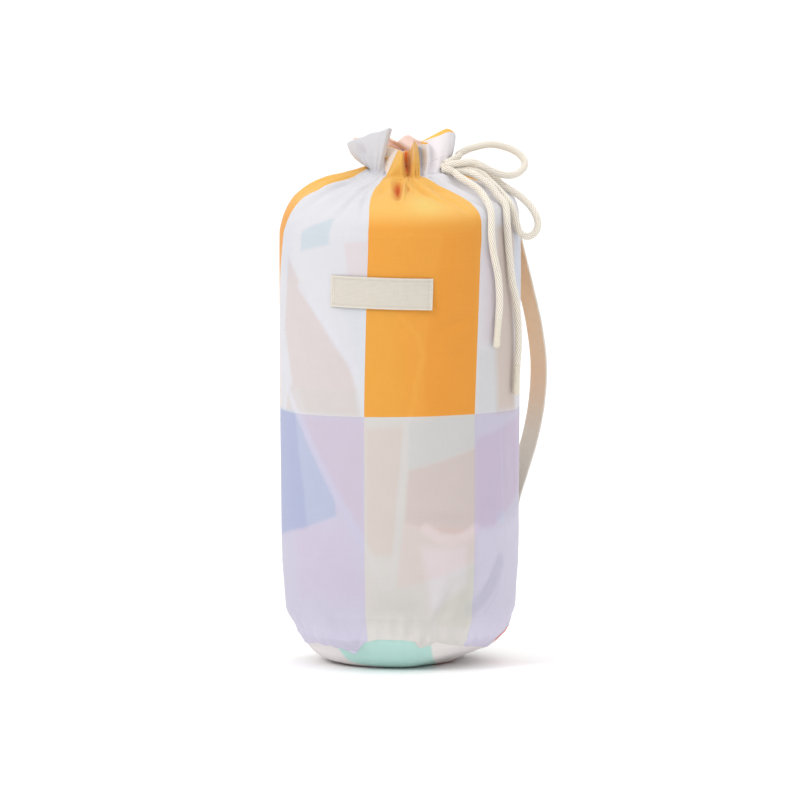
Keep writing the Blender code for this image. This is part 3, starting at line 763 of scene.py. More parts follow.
def body_points(rows):
    """The cloth from the base seam to the cord, before its creases."""
    radius, height = rows[:, 0:1], rows[:, 1:2]
    low = seam_height()[None, :]
    squeeze = eased(0.075, 0.020, height)
    height = height + squeeze * (low - BODY_PROFILE[0][1]) * eased(0.080, 0.015, height)
    radius = np.where(height < 0.09, side_radius(height), radius)
    radius = radius - tucked_corner(height) + 0.0005 * np.exp(-(height - low) / 0.003)
    share = np.clip((BODY_RADIUS - radius) / (BODY_RADIUS - NECK_RADIUS), 0, 1)
    straight = np.maximum(bump_of(48, 40, TURNS), bump_of(-84, 30, TURNS))
    power = 1.3 + 3.7 * np.clip(1.6 * straight, 0, 1) - 0.45 * bump_of(-17, 16, TURNS)
    share = np.where(height > SHOULDER_FOOT, share, 0) ** power
    turn = TURNS[None, :] + (neck_turn(TURNS) - TURNS)[None, :] * share
    pull = (table_at(NECK_TABLE, TURNS, 2) / 1000 - 0.0287)[None, :]
    near = np.exp(-np.maximum(radius - NECK_RADIUS, 0) / 0.0085) * (height > SHOULDER_FOOT)
    radius = radius + pull * near
    fine = fine_pleats(TURNS)[None, :]
    reach = np.exp(-np.maximum(radius - NECK_RADIUS, 0) / 0.0095) * (height > SHOULDER_FOOT)
    radius = radius + 0.0011 * fine * reach
    points = on_body(radius, np.radians(turn), height)
    points[..., 2] += 0.0013 * fine * reach * eased(NECK_RADIUS, NECK_RADIUS + 0.006, radius)
    return points


def surface_normals(points):
    """Outward unit normals of a closed ring of grid points."""
    around = np.roll(points, -1, axis=1) - np.roll(points, 1, axis=1)
    upward = np.gradient(points, axis=0)
    normals = np.cross(around, upward)
    return normals / np.maximum(np.linalg.norm(normals, axis=2), 1e-12)[..., None]


def body_relief(rows, points):
    """How far creases, swells and puckers move each point of the body out or in."""
    across = np.broadcast_to(np.radians(TURNS)[None, :] * BODY_RADIUS, points.shape[:2])
    along = np.broadcast_to(rows[:, 2:3], points.shape[:2])
    radius = np.hypot(points[..., 0] - NECK_LEAN * (rows[:, 1:2] > 0.36), points[..., 1])
    narrowing = np.clip(radius / BODY_RADIUS, 0.25, 1)
    relief = np.zeros(points.shape[:2])
    for crease in HAND_CREASES + BODY_CREASES + shoulder_creases() + seam_creases():
        crease_relief(relief, across, along, narrowing, crease)
    height = rows[:, 1:2]
    slow = waves(TURNS, 360, (3, 5, 7, 11), 21)[None, :] * np.sin(height * 21 + 0.5)
    slow = slow + waves(TURNS, 360, (4, 6, 9, 13), 22)[None, :] * np.cos(height * 33)
    relief += 0.00035 * slow * eased(0.02, 0.08, height) * eased(0.345, 0.30, height)
    puff = bump_of(0.030, 0.022, height - (seam_height()[None, :] - 0.015))
    relief += 0.0006 * puff * (1 - bump_of(-82, 50, TURNS))[None, :]
    label = bump_of(0, 34, TURNS[None, :] - LABEL_TURN) * bump_of(LABEL_HEIGHT, 0.03, height)
    relief *= 1 - np.clip(2 * label, 0, 1)
    relief *= eased(rows[-1, 2], rows[-1, 2] - 0.004, along)
    seam = np.maximum(bump_of(118, 14, TURNS), bump_of(-242, 14, TURNS))
    relief *= 1 - np.clip(2 * seam, 0, 1)[None, :]
    return relief


# The hem's inner layer below the frill: it passes inside the cord and turns out under it
TUNNEL_PROFILE = [
    (0.0134, 0.3895), (0.0126, 0.3865), (0.0126, 0.3820), (0.0138, 0.3785), (0.0190, 0.3768),
    (0.0260, 0.3764),
]
FRILL_ROWS = 34
FACING_ROWS = 22


def frill_points(neck):
    """The frill above the cord, then over its folded edge and down inside as the turned-in hem."""
    edge = np.stack([table_at(EDGE_TABLE, TURNS, k) for k in (1, 2, 3)], axis=1) / 1000
    edge[:, 2] += 0.0005 * waves(TURNS, 360, (17, 29, 41), 31)
    share = np.linspace(0, 1, FRILL_ROWS + 1)[1:, None, None]
    ease = share ** (0.8 - 0.28 * bump_of(-76, 34, TURNS))[None, :, None]
    points = neck[None] * (1 - ease) + edge[None] * ease
    points[..., 2] = neck[None, :, 2] * (1 - share[..., 0]) + edge[None, :, 2] * share[..., 0]
    outward = edge[:, :2] - np.array((NECK_LEAN, 0))
    outward /= np.linalg.norm(outward, axis=1)[:, None]
    belly = 0.0016 * np.sin(math.pi * share)
    points[..., :2] += outward[None] * belly
    fine = fine_pleats(TURNS)[None, :, None] * (0.0011 * (1 - share) ** 2 * eased(0, 0.05, share))
    points[..., :2] += outward[None] * fine
    dimple = bump_of(-64, 7, TURNS)[None, :, None] * bump_of(0.55, 0.35, share)
    points[..., :2] -= outward[None] * (0.0035 * dimple)
    return points


def facing_points(frill):
    """The hem's inner layer, from the folded edge down to the cord's tunnel."""
    normals = surface_normals(frill)
    order = np.arange(FRILL_ROWS - 1, -1, -1)[:FACING_ROWS]
    down = np.linspace(0, 1, FACING_ROWS)[:, None, None]
    sharp = np.maximum(bump_of(6, 14, TURNS), bump_of(-38, 30, TURNS))
    layer = HEM_LAYER * (1 + 1.5 * down) * (1 - 0.93 * sharp)[None, :, None]
    inner = frill[order] - normals[order] * layer
    fold = frill[-1:] - normals[-1:] * 0.5 * HEM_LAYER + np.array((0, 0, 0.00045))
    azimuth = np.radians(neck_turn(TURNS))
    pleat = 0.0007 * fine_pleats(TURNS)
    last = inner[-1]
    under = []
    for radius, height in TUNNEL_PROFILE:
        drawn_in = 0.0048 * bump_of(6, 13, TURNS) * (height > 0.388)
        ring = on_body(radius + pleat - drawn_in, azimuth, np.full(COLUMNS, NECK_HEIGHT))
        ring[:, 2] += height - NECK_HEIGHT
        under.append(ring)
    halfway = 0.5 * (last + under[0]) + np.array((0, 0, 0.0010))
    return np.concatenate([fold, inner, halfway[None], under])


def outline_share(across, height, corners, soft):
    """1 inside a convex outline of (turn, height) corners, 0 outside, over a soft edge."""
    points = [(math.radians(t) * BODY_RADIUS, h) for t, h in corners]
    area = sum(a[0] * b[1] - b[0] * a[1] for a, b in zip(points, points[1:] + points[:1]))
    if area < 0:
        points.reverse()
    inside = np.full(across.shape, 1.0)
    for a, b in zip(points, points[1:] + points[:1]):
        dx, dy = b[0] - a[0], b[1] - a[1]
        far = (dx * (height - a[1]) - dy * (across - a[0])) / math.hypot(dx, dy)
        inside = np.minimum(inside, eased(-soft, soft, far))
    return inside


def band_share(across, height, route, half):
    """1 on a line through (turn, height) points, falling to 0 a little past half away."""
    points = [(math.radians(t) * BODY_RADIUS, h) for t, h in route]
    best = np.full(across.shape, np.inf)
    for a, b in zip(points, points[1:]):
        dx, dy = b[0] - a[0], b[1] - a[1]
        t = np.clip(((across - a[0]) * dx + (height - a[1]) * dy) / (dx * dx + dy * dy), 0, 1)
        best = np.minimum(best, np.hypot(across - a[0] - t * dx, height - a[1] - t * dy))
    return eased(1.35 * half, 0.4 * half, best)


# What shows faintly through the cloth: outline (turn, height), colour to multiply, soft edge
PATCHES = [
    # the white column
    ([(-66, 0.318), (-57, 0.303), (-24, 0.237), (-21.5, 0.219), (-63, 0.219), (-72, 0.262)],
     (0.955, 0.865, 0.825), 0.003),
    ([(-54.3, 0.341), (-39.8, 0.3555), (-36.1, 0.3575), (-35.4, 0.331), (-54.3, 0.3245)],
     (0.84, 0.925, 0.955), 0.0018),
    ([(-27.3, 0.333), (-15.0, 0.3345), (-15.0, 0.300), (-24.5, 0.300)], (1.0, 0.925, 0.92), 0.0015),
    ([(-76, 0.345), (-64, 0.345), (-62, 0.300), (-76, 0.300)], (0.955, 0.965, 0.99), 0.008),
    ([(-30, 0.284), (-17, 0.284), (-17, 0.225), (-20, 0.240)], (0.965, 0.985, 1.0), 0.003),
    ([(-68, 0.219), (-21.5, 0.219), (-19, 0.199), (-72, 0.199)], (0.95, 0.89, 0.86), 0.003),
    ([(-57, 0.219), (-21.5, 0.219), (-19, 0.199), (-50, 0.199)], (0.965, 0.965, 0.93), 0.004),
    # the amber column
    ([(12, 0.340), (38.7, 0.345), (38.7, 0.199), (7.0, 0.199), (12, 0.250)], (0.99, 0.93, 0.83), 0.004),
    ([(-17.5, 0.283), (-2, 0.283), (1, 0.199), (-17.5, 0.199)], (0.975, 1.045, 1.06), 0.008),
    # the left lilac column
    ([(-95, 0.199), (-58.6, 0.199), (-33, 0.1365), (-31.8, 0.1215), (-50.9, 0.1108), (-95, 0.096)],
     (0.79, 0.91, 0.97), 0.0012),
    ([(-95, 0.199), (-61, 0.199), (-53, 0.136), (-51, 0.110), (-95, 0.096)],
     (0.89, 0.89, 0.965), 0.003),
    ([(-52, 0.196), (-17.5, 0.196), (-17.5, 0.108), (-44, 0.172)], (1.0, 0.945, 0.935), 0.003),
    ([(-60, 0.110), (-30, 0.110), (-17.5, 0.060), (-56, 0.060)], (1.02, 0.965, 0.98), 0.010),
    # the off-white column
    ([(-16.3, 0.190), (2.0, 0.192), (-2.1, 0.092), (-16.3, 0.092)], (1.0, 0.93, 0.91), 0.003),
    ([(4.0, 0.158), (38.7, 0.173), (38.7, 0.110), (29.8, 0.1075), (20.6, 0.108), (2.1, 0.118)],
     (0.965, 0.875, 0.875), 0.0018),
    ([(4.0, 0.196), (38.7, 0.199), (38.7, 0.174), (25.1, 0.168), (4.0, 0.158)],
     (0.93, 0.965, 1.0), 0.0018),
    ([(2.0, 0.118), (38.7, 0.110), (38.7, 0.086), (26.0, 0.079), (8.9, 0.070), (-1.5, 0.067)],
     (1.04, 0.955, 0.955), 0.0018),
    ([(10.0, 0.098), (34.0, 0.098), (34.0, 0.068), (16.0, 0.046)], (1.08, 1.07, 1.15), 0.005),
    ([(-14.0, 0.066), (-4.0, 0.066), (10.0, 0.058), (14.0, 0.034), (-16.0, 0.034)],
     (0.965, 0.97, 0.965), 0.008),
    ([(24.0, 0.074), (38.7, 0.082), (38.7, 0.030), (19.0, 0.030)], (0.97, 0.985, 0.96), 0.003),
    # the right lilac column and the white one above it
    ([(39.3, 0.180), (76, 0.194), (92, 0.194), (92, 0.146), (51.6, 0.112), (39.3, 0.111)],
     (0.985, 0.895, 0.935), 0.003),
    ([(53.5, 0.1228), (61.5, 0.1215), (61.5, 0.1125), (53.5, 0.1135)], (0.98, 1.06, 1.06), 0.001),
    ([(39.3, 0.108), (95, 0.122), (95, 0.018), (37.0, 0.018)], (1.09, 1.10, 1.09), 0.006),
    ([(53.0, 0.345), (70.0, 0.348), (71.0, 0.200), (54.5, 0.200), (51.5, 0.260)],
     (0.905, 0.785, 0.68), 0.005),
    ([(42.5, 0.330), (53.0, 0.330), (53.0, 0.255), (42.5, 0.255)], (1.0, 0.93, 0.95), 0.006),
    ([(40.6, 0.250), (52.5, 0.245), (54.9, 0.200), (39.7, 0.200)], (0.94, 0.945, 0.925), 0.002),
    ([(70.6, 0.341), (95.0, 0.335), (95.0, 0.276), (70.6, 0.300)], (0.91, 0.96, 1.02), 0.004),
    # round the back
    ([(100, 0.100), (100, 0.190), (140, 0.180), (140, 0.130)], (0.985, 0.92, 0.92), 0.004),
    ([(-170, 0.090), (-170, 0.180), (-135, 0.190), (-130, 0.080)], (0.85, 0.92, 1.03), 0.003),
    ([(-228, 0.210), (-225, 0.330), (-190, 0.320), (-186, 0.200)], (1.0, 0.95, 0.94), 0.004),
    ([(-185, 0.215), (-185, 0.300), (-150, 0.330), (-132, 0.250)], (0.985, 0.925, 0.91), 0.003),
    ([(-112, 0.060), (-112, 0.150), (-96, 0.160), (-96, 0.080)], (1.0, 0.93, 0.93), 0.004),
]

# Pale lines where its hems and folds press on the cloth: route (turn, height) and half width
PALE_BANDS = [
    ([(-56, 0.297), (-45, 0.281), (-38, 0.2705), (-31, 0.2553), (-24.4, 0.2416), (-20, 0.227)], 0.0030),
    ([(-80, 0.262), (-68, 0.2141), (-53.6, 0.1893), (-44.2, 0.1678), (-30.7, 0.1333),
      (-19.7, 0.1062), (-12.9, 0.0867), (-8.0, 0.0668)], 0.0036),
    ([(-0.3, 0.277), (8.4, 0.262), (11.0, 0.246), (7.6, 0.225), (6.6, 0.210), (2.9, 0.1928),
      (1.7, 0.1637), (0.0, 0.1399), (-1.2, 0.1134), (-2.9, 0.087), (-4.6, 0.0669)], 0.0027),
    ([(56.5, 0.1956), (58.8, 0.1353), (64.0, 0.0812)], 0.0008),
    ([(26.6, 0.0682), (20.7, 0.0519), (17.7, 0.0365), (17.2, 0.0246)], 0.0014),
    ([(60.0, 0.080), (55.5, 0.058), (47.0, 0.044)], 0.0020),
    ([(-150, 0.310), (-128, 0.240), (-135, 0.110)], 0.0030),
    ([(-200, 0.060), (-178, 0.190), (-190, 0.330)], 0.0028),
    ([(84, 0.060), (92, 0.180), (80, 0.330)], 0.0028),
]

# Folds that catch the light or lie in shade: route (turn, height), half width and colour
SHADED_FOLDS = [
    ([(12.5, 0.1125), (18.8, 0.1054), (26.2, 0.1028), (33.1, 0.1057), (39.4, 0.1112)],
     0.0046, (1.14, 1.03, 1.07)),
    ([(57.0, 0.084), (50.9, 0.0642), (45.2, 0.0559), (36.9, 0.0453)], 0.0066, (0.925, 0.95, 0.96)),
]


def cloth_tint(rows, total_rows):
    """Colours that multiply the print, for each row and column of the whole cloth: what shows through
    it, and painted light and shade.
    """
    across = np.broadcast_to(np.radians(TURNS)[None, :] * BODY_RADIUS, (len(rows), COLUMNS))
    height = np.broadcast_to(rows[:, 1:2], across.shape)
    tint = np.ones((total_rows, COLUMNS, 3))
    body = tint[: len(rows)]
    for corners, colour, soft in PATCHES:
        share = outline_share(across, height, corners, soft)[..., None]
        body *= 1 - share * (1 - np.array(colour))
    for route, half in PALE_BANDS:
        share = band_share(across, height, route, half)[..., None]
        amber = (np.abs(across - 0.018) < 0.046) & (height > ROW_LINE_HEIGHT)
        lit = np.where(amber[..., None], (1.02, 1.07, 1.14), (1.0, 1.015, 1.045))
        body += share * 0.70 * (lit - body)
    for route, half, colour in SHADED_FOLDS:
        share = band_share(across, height, route, half)[..., None]
        body += share * 0.75 * (np.array(colour) - body)
    along = rows[:, 2:3, None]
    # Painted shade: the small pucker below the gathers at the front, darkened to a deep red
    pucker = bump_of(-6.2, 2.2, TURNS)[None, :, None] * bump_of(0.2145, 0.012, along)
    body *= 1 - pucker * np.array((0.26, 0.80, 0.78))
    # Painted highlight: a soft pale yellow patch on the amber shoulder, where the light from above
    # falls
    shoulder_highlight = bump_of(13, 17, TURNS)[None, :, None] * bump_of(0.184, 0.026, along)
    body *= 1 + shoulder_highlight * np.array((-0.04, 0.16, 0.36))
    # Painted light: the shoulder right of the amber column made lighter, against the shade of the light
    # from the left and of the loops
    shaded = bump_of(72, 40, TURNS)[None, :, None] * eased(0.148, 0.176, along)
    body *= 1 + shaded * np.array((0.24, 0.22, 0.21))
    # Painted light: the cloth made lighter towards the bottom, where it faces down and gets less light
    body *= 1 + 0.16 * eased(0.050, 0.018, height)[..., None]
    frill = tint[len(rows) :]
    # Painted light: the frill lighter round turn 66, on its right side
    right_frill_light = bump_of(66, 26, TURNS)[None, :, None] * np.array((0.34, 0.28, 0.26))
    # Painted reflection: the white frill next to the amber panel tinted warm, as if lit by the amber
    amber_reflection = (bump_of(-22, 9, TURNS) * (TURNS < FIRST_COLUMN_TURN))[None, :, None]
    amber_reflection = amber_reflection * np.array((-0.36, -0.12, 0.12))
    # Painted shade and painted reflection: the deep valley between the amber panels darkened to a dark
    # red
    valley_shade = bump_of(6, 6.5, TURNS)[None, :, None] * np.array((-0.32, 0.30, 0.52))
    frill[:FRILL_ROWS] *= (1 + right_frill_light) * (1 - amber_reflection) * (1 - valley_shade)
    return tint


def print_shift(turns, vs):
    """How far the print lies off its straight grid: it leans, and its row line dips a little."""
    lean = -0.0048 * np.clip(vs / 0.13, 0, 1)[:, None]
    left = -0.0034 * (np.clip(vs / 0.13, 0, 1) ** 1.4 * eased(0.212, 0.140, vs))[:, None]
    right = lean * eased(0.225, 0.195, vs)[:, None] + 0.0017 * eased(0.145, 0.120, vs)[:, None]
    side = eased(0, 20, turns)[None, :] * eased(110, 80, turns)[None, :]
    drawn = 0.0185 * eased(0.156, 0.068, vs) + 0.0035 * eased(0.230, 0.100, vs)
    across = left + (right - left) * side + drawn[:, None] * bump_of(-82, 45, turns)[None, :]
    across = across + 0.075 * eased(0.224, 0.236, vs)[:, None] * bump_of(-118, 80, turns)[None, :]
    along = -0.0018 * bump_of(40, 120, turns)[None, :] * eased(0.15, 0.05, vs)[:, None]
    return at_corners(np.stack([across, along], axis=-1))


def build_cloth(material):
    """The printed cloth from the base seam to the frill and down inside as its hem."""
    rows = body_rows()
    body = body_points(rows)
    body += surface_normals(body) * body_relief(rows, body)[..., None]
    frill = frill_points(body[-1])
    facing = facing_points(frill)
    points = np.concatenate([body, frill, facing])
    turns = np.append(TURNS, SEAM_TURN)
    us = np.radians(turns - FIRST_COLUMN_TURN) * BODY_RADIUS
    top = rows[-1, 2]
    frill_along = top + FRILL_CLOTH * np.arange(1, FRILL_ROWS + 1) / FRILL_ROWS
    facing_along = frill_along[-1] + 0.001 + FRILL_CLOTH * np.arange(len(facing)) / FRILL_ROWS
    vs = np.concatenate([rows[:, 2], frill_along, facing_along])
    pairs = grid_uv(us, vs)
    band = 0.0026 * bump_of(71, 13, turns) - 0.0040 * bump_of(-62, 42, turns)
    band -= (vs[len(rows) + FRILL_ROWS - 1] - ROW_HEIGHT) + 0.0002
    shift = np.stack([band[:-1], band[1:], band[1:], band[:-1]], axis=1)
    start = len(rows) + FRILL_ROWS // 2
    pairs[start:, :, :, 1] += shift[None]
    pairs[len(rows) + FRILL_ROWS :, :, :, 1] -= 0.03 * bump_of(-28, 12, TURNS)[None, :, None]
    pairs += print_shift(turns, vs)
    faces = grid_faces(len(points), COLUMNS, closed=True)
    tint = cloth_tint(rows, len(points))
    return new_object("bag_cloth", points, faces, material, pairs, tint), rows, points


# ---------------------------------------------------------------- the base

BASE_PROFILE = [(0.0745, 0.0150), (0.0680, 0.0080), (0.0600, 0.0030), (0.0500, 0.0), (0.0, 0.0)]
MINT = srgb(188, 224, 216)
BLUSH = srgb(234, 227, 226)
CORAL = srgb(214, 92, 84)
BASE_RISE_ROWS = 8
BASE_INSET = 0.0010


def build_base(material):
    """The round base, whose edge rises to the seam that the body cloth hangs over."""
    ring = smooth_curve(BASE_PROFILE[:4], 0.0012)
    inner = np.linspace(ring[-1, 0], 0.0015, 30)[1:]
    ring = np.vstack([ring, np.stack([inner, np.zeros_like(inner)], axis=1)])
    low = seam_height() + 0.0030
    seam = BODY_PROFILE[0][1]
    right = 0.0007 * bump_of(80, 15, TURNS)
    rows = []
    for step in range(BASE_RISE_ROWS):
        height = seam + (low - seam) * (1 - step / BASE_RISE_ROWS)
        reach = side_radius(height) - tucked_corner(height)
        rows.append((reach + right - BASE_INSET, height))
    for radius, height in ring:
        tuck = (BASE_INSET - right) * eased(0.062, 0.0745, radius)
        rows.append((radius - tuck, np.full(COLUMNS, height)))
    azimuth = np.radians(TURNS)
    pucker = waves(TURNS, 360, (19, 27, 38), 17) * 0.0004
    points = []
    for radius, height in rows:
        drawn = radius + pucker * eased(0.055, 0.074, radius)
        raised = eased(2, 48, TURNS) * eased(125, 85, TURNS)
        rolled = eased(0.038, 0.056, radius) * eased(0.0765, 0.062, radius)
        lifted = height + 0.0056 * raised * rolled
        points.append(at_azimuth(drawn, azimuth, lifted))
    points = np.array(points)
    grid = grid_faces(len(points), COLUMNS, closed=True)
    middle = list(range((len(points) - 1) * COLUMNS, len(points) * COLUMNS))
    x, y = points[..., 0], points[..., 1]
    tint = np.empty(points.shape)
    tint[:] = BLUSH[:3]
    mint = eased(-0.0006, 0.0006, x + 0.0522 - 1.42 * (y + 0.0596))
    mint *= eased(0.0006, -0.0006, x - 0.0241 - 0.11 * (y + 0.074))
    mint *= np.maximum(eased(0.0006, -0.0006, y + 0.0515), eased(-0.0140, -0.0120, x))
    mint *= eased(0.001, -0.001, y + 0.030)
    under = eased(0.0435, 0.0420, np.hypot(x, y))
    coral = eased(-0.001, 0.001, x - 0.0255) * under
    coral = np.maximum(coral, eased(-0.001, 0.001, x - 0.0735) * eased(0.002, -0.002, y + 0.002))
    for share, colour in ((mint, MINT), (coral, CORAL)):
        tint = tint * (1 - share[..., None]) + share[..., None] * np.array(colour[:3])
    return new_object("base_cloth", points, flipped([*grid, middle]), material, points[..., :2], tint)


# ---------------------------------------------------------------- cords

BRAID_CELLS = 10
BRAID_PITCH = 0.0017
BRAID_DEPTH = 0.00044
BRAID_SIDES = 48
BRAID_STEP = 0.0004
TIP_SIDES = 32
TIP_NOSE = 0.86

UPPER_STRAND = [
    (0.0322, -0.0128, 0.3872), (0.0400, -0.0162, 0.3890), (0.0480, -0.0168, 0.3904), *UPPER_LOOP,
    (0.0405, -0.0100, 0.3920), (0.0345, -0.0135, 0.3892),
]
LOWER_STRAND = [
    (0.0400, -0.0100, 0.3850), (0.0500, -0.0105, 0.3855), *LOWER_LOOP, (0.0520, -0.0150, 0.3850),
    (0.0430, -0.0140, 0.3850),
]
FRONT_STUB = [
    (0.0335, -0.0150, 0.3852), (0.0385, -0.0178, 0.3850), FRONT_END[0], (0.0436, -0.0205, 0.3824),
]
REAR_STUB = [
    (0.0400, -0.0140, 0.3845), (0.0485, -0.0168, 0.3838), REAR_END[0], (0.0573, -0.0213, 0.3816),
]
KNOT_WRAP = [
    (0.0412, -0.0050, 0.3862), (0.0404, -0.0070, 0.3896), (0.0392, -0.0108, 0.3902),
    (0.0382, -0.0138, 0.3880), (0.0378, -0.0148, 0.3846), (0.0384, -0.0132, 0.3818),
    (0.0396, -0.0096, 0.3810), (0.0408, -0.0062, 0.3828),
]
CASING_ENTRY = [(0.0450, -0.0105, 0.3862), (0.0395, -0.0068, 0.3868), (0.0330, -0.0040, 0.3866)]
CASING_EXIT = [(0.0335, -0.0085, 0.3858), (0.0400, -0.0110, 0.3860), (0.0455, -0.0125, 0.3860)]


def braid_height(turn, along):
    """Height of a round braid, 0 to 1: two families of strands that pass over and under."""
    a = BRAID_CELLS * turn / (2 * math.pi) + along / BRAID_PITCH / 2
    b = BRAID_CELLS * turn / (2 * math.pi) - along / BRAID_PITCH / 2
    over = (np.floor(a) + np.floor(b)) % 2 == 0
    rib_a, rib_b = np.sin(math.pi * (a % 1)), np.sin(math.pi * (b % 1))
    first = np.sqrt(rib_a) * (0.55 + 0.45 * rib_b)
    second = np.sqrt(rib_b) * (0.55 + 0.45 * rib_a)
    return np.where(over, first, second)


def braided_cord(name, route, material):
    """A braided cord with real strands, along a smooth curve through its route. Closed ends."""
    path = smooth_curve(route, BRAID_STEP)
    along = np.arange(len(path)) * BRAID_STEP
    turn = np.linspace(0, 2 * math.pi, BRAID_SIDES, endpoint=False)
    height = braid_height(turn[None, :], along[:, None])
    _, side, up = frames_along(path)
    radius = CORD / 2 - BRAID_DEPTH + BRAID_DEPTH * 1.25 * height
    ring = side[:, None] * np.cos(turn)[None, :, None] + up[:, None] * np.sin(turn)[None, :, None]
    points = path[:, None] + ring * radius[..., None]
    faces = flipped(grid_faces(len(path), BRAID_SIDES, closed=True))
    first = len(path) * BRAID_SIDES
    last = first - BRAID_SIDES
    around = [(here, (here + 1) % BRAID_SIDES) for here in range(BRAID_SIDES)]
    faces += [[here, after, first] for here, after in around]
    faces += [[last + after, last + here, first + 1] for here, after in around]
    us = np.append(turn, 2 * math.pi) * CORD / 2
    pairs = grid_uv(us, along)[:, :, ::-1]
    # Painted shade: the hollows between the strands are darker
    hollow_shade = np.append(0.08 + 0.92 * eased(0.15, 0.82, height).ravel(), (0.5, 0.5))
    points = np.vstack([points.reshape(-1, 3), path[0], path[-1]])
    tint = np.repeat(hollow_shade[:, None], 3, axis=1)
    obj = new_object(name, points, faces, material, pairs, tint)
    return obj, path


def build_tip(name, start, end, material):
    """A dipped end: the cord's width at its start, a slight waist and a rounded nose."""
    start, end = np.array(start, float), np.array(end, float)
    length = np.linalg.norm(end - start)
    direction = (end - start) / length
    rounded = np.sin(np.linspace(0, math.pi / 2, 12)[1:])
    shares = np.concatenate([np.linspace(0, TIP_NOSE, 26), TIP_NOSE + (1 - TIP_NOSE) * rounded])
    radius = CORD / 2 * (1.02 - 0.10 * np.sin(math.pi * np.clip(shares, 0, TIP_NOSE) / TIP_NOSE))
    nose = np.sqrt(np.clip(1 - ((shares - TIP_NOSE) / (1 - TIP_NOSE)) ** 2, 0.0004, 1))
    radius = np.where(shares > TIP_NOSE, radius * nose, radius)
    side = np.cross(direction, (0, 1, 0))
    side /= np.linalg.norm(side)
    up = np.cross(direction, side)
    turn = np.linspace(0, 2 * math.pi, TIP_SIDES, endpoint=False)
    ring = side * np.cos(turn)[:, None] + up * np.sin(turn)[:, None]
    ripple = 1 + 0.012 * np.sin(6 * turn[None, :] + 9 * shares[:, None])
    centre = start + direction * (shares * length)[:, None]
    points = centre[:, None] + ring[None] * (radius[:, None] * ripple)[..., None]
    return new_object(name, points, flipped(tube_faces(len(shares), TIP_SIDES)), material)


def build_cords(material, tip):
    """The bow's loops and ends, the knot's wrap and the run in the casing."""
    for name, route, node in (
        ("bow_upper_strand", UPPER_STRAND, "bow_loop_upper"),
        ("bow_lower_strand", LOWER_STRAND, "bow_loop_lower"),
    ):
        obj, path = braided_cord(name, route, material)
        place(obj, "root", "cotton_cord", node)
    for side, route, tip_end in (
        ("front", FRONT_END, FRONT_TIP_END),
        ("rear", REAR_END, REAR_TIP_END),
    ):
        name = side + "_cord_end"
        obj, path = braided_cord(name, route, material)
        dipped = build_tip(name + "_tip", route[-1], tip_end, tip)
        place(obj, side + "_end", "cotton_cord", "drawstring_end_" + side)
        place(dipped, side + "_end", "cord_tip", "end_tip_" + side)
    knot, _ = braided_cord("bow_knot_wrap", KNOT_WRAP, material)
    front_stub, _ = braided_cord("front_stub", FRONT_STUB, material)
    rear_stub, _ = braided_cord("rear_stub", REAR_STUB, material)
    pieces = [knot, front_stub, rear_stub]
    with bpy.context.temp_override(active_object=knot, selected_editable_objects=pieces):
        bpy.ops.object.join()
    place(knot, "root", "cotton_cord", "bow_knot")
    azimuths = np.radians(np.linspace(80, 420, 60))
    ring = on_body(np.full(60, 0.0168), azimuths, np.full(60, NECK_HEIGHT - 0.0040))
    route = [*CASING_ENTRY, *ring[2:-2:3].tolist(), *CASING_EXIT]
    run, _ = braided_cord("drawstring_in_casing", route, material)
    place(run, "root", "cotton_cord", "drawstring_channel_run")


# ---------------------------------------------------------------- the strap

WEBBING_COLUMNS = 40
WEBBING_STEP = 0.0009


def strap_path():
    """The strap's middle line in the plane of its azimuth, as radius and height."""
    return smooth_curve(STRAP_SHOULDER + STRAP_RUN, WEBBING_STEP)


def webbing_relief(across, along):
    """Twill ribs of the webbing in metres, with a firmer rolled edge."""
    rib = np.abs(np.sin(math.pi * across / 0.00125 + 0.6 * np.sin(along / 0.0011)))
    edge = eased(0.0100, 0.0120, np.abs(across))
    return 0.00016 * rib * (1 - edge) + 0.00018 * edge


def make_strap(material):
    """The whole strap as one piece. Its inner face is tinted against the light of the amber cloth."""
    ring, across, along = strap_shell(strap_path())
    count = ring.shape[1]
    us = np.tile(np.concatenate([across, across[::-1] + 0.1]), len(along))
    inner = np.arange(count) > WEBBING_COLUMNS
    upper = eased(0.19, 0.27, ring[..., 2])
    tint = 1 + (inner * upper)[..., None] * np.array((0.0, 0.12, 0.20))
    uv = np.stack([us, np.repeat(along, count)], axis=1)
    faces = tube_faces(len(along), count)
    return new_object("carry_strap", ring, faces, material, uv, tint, outward=True)


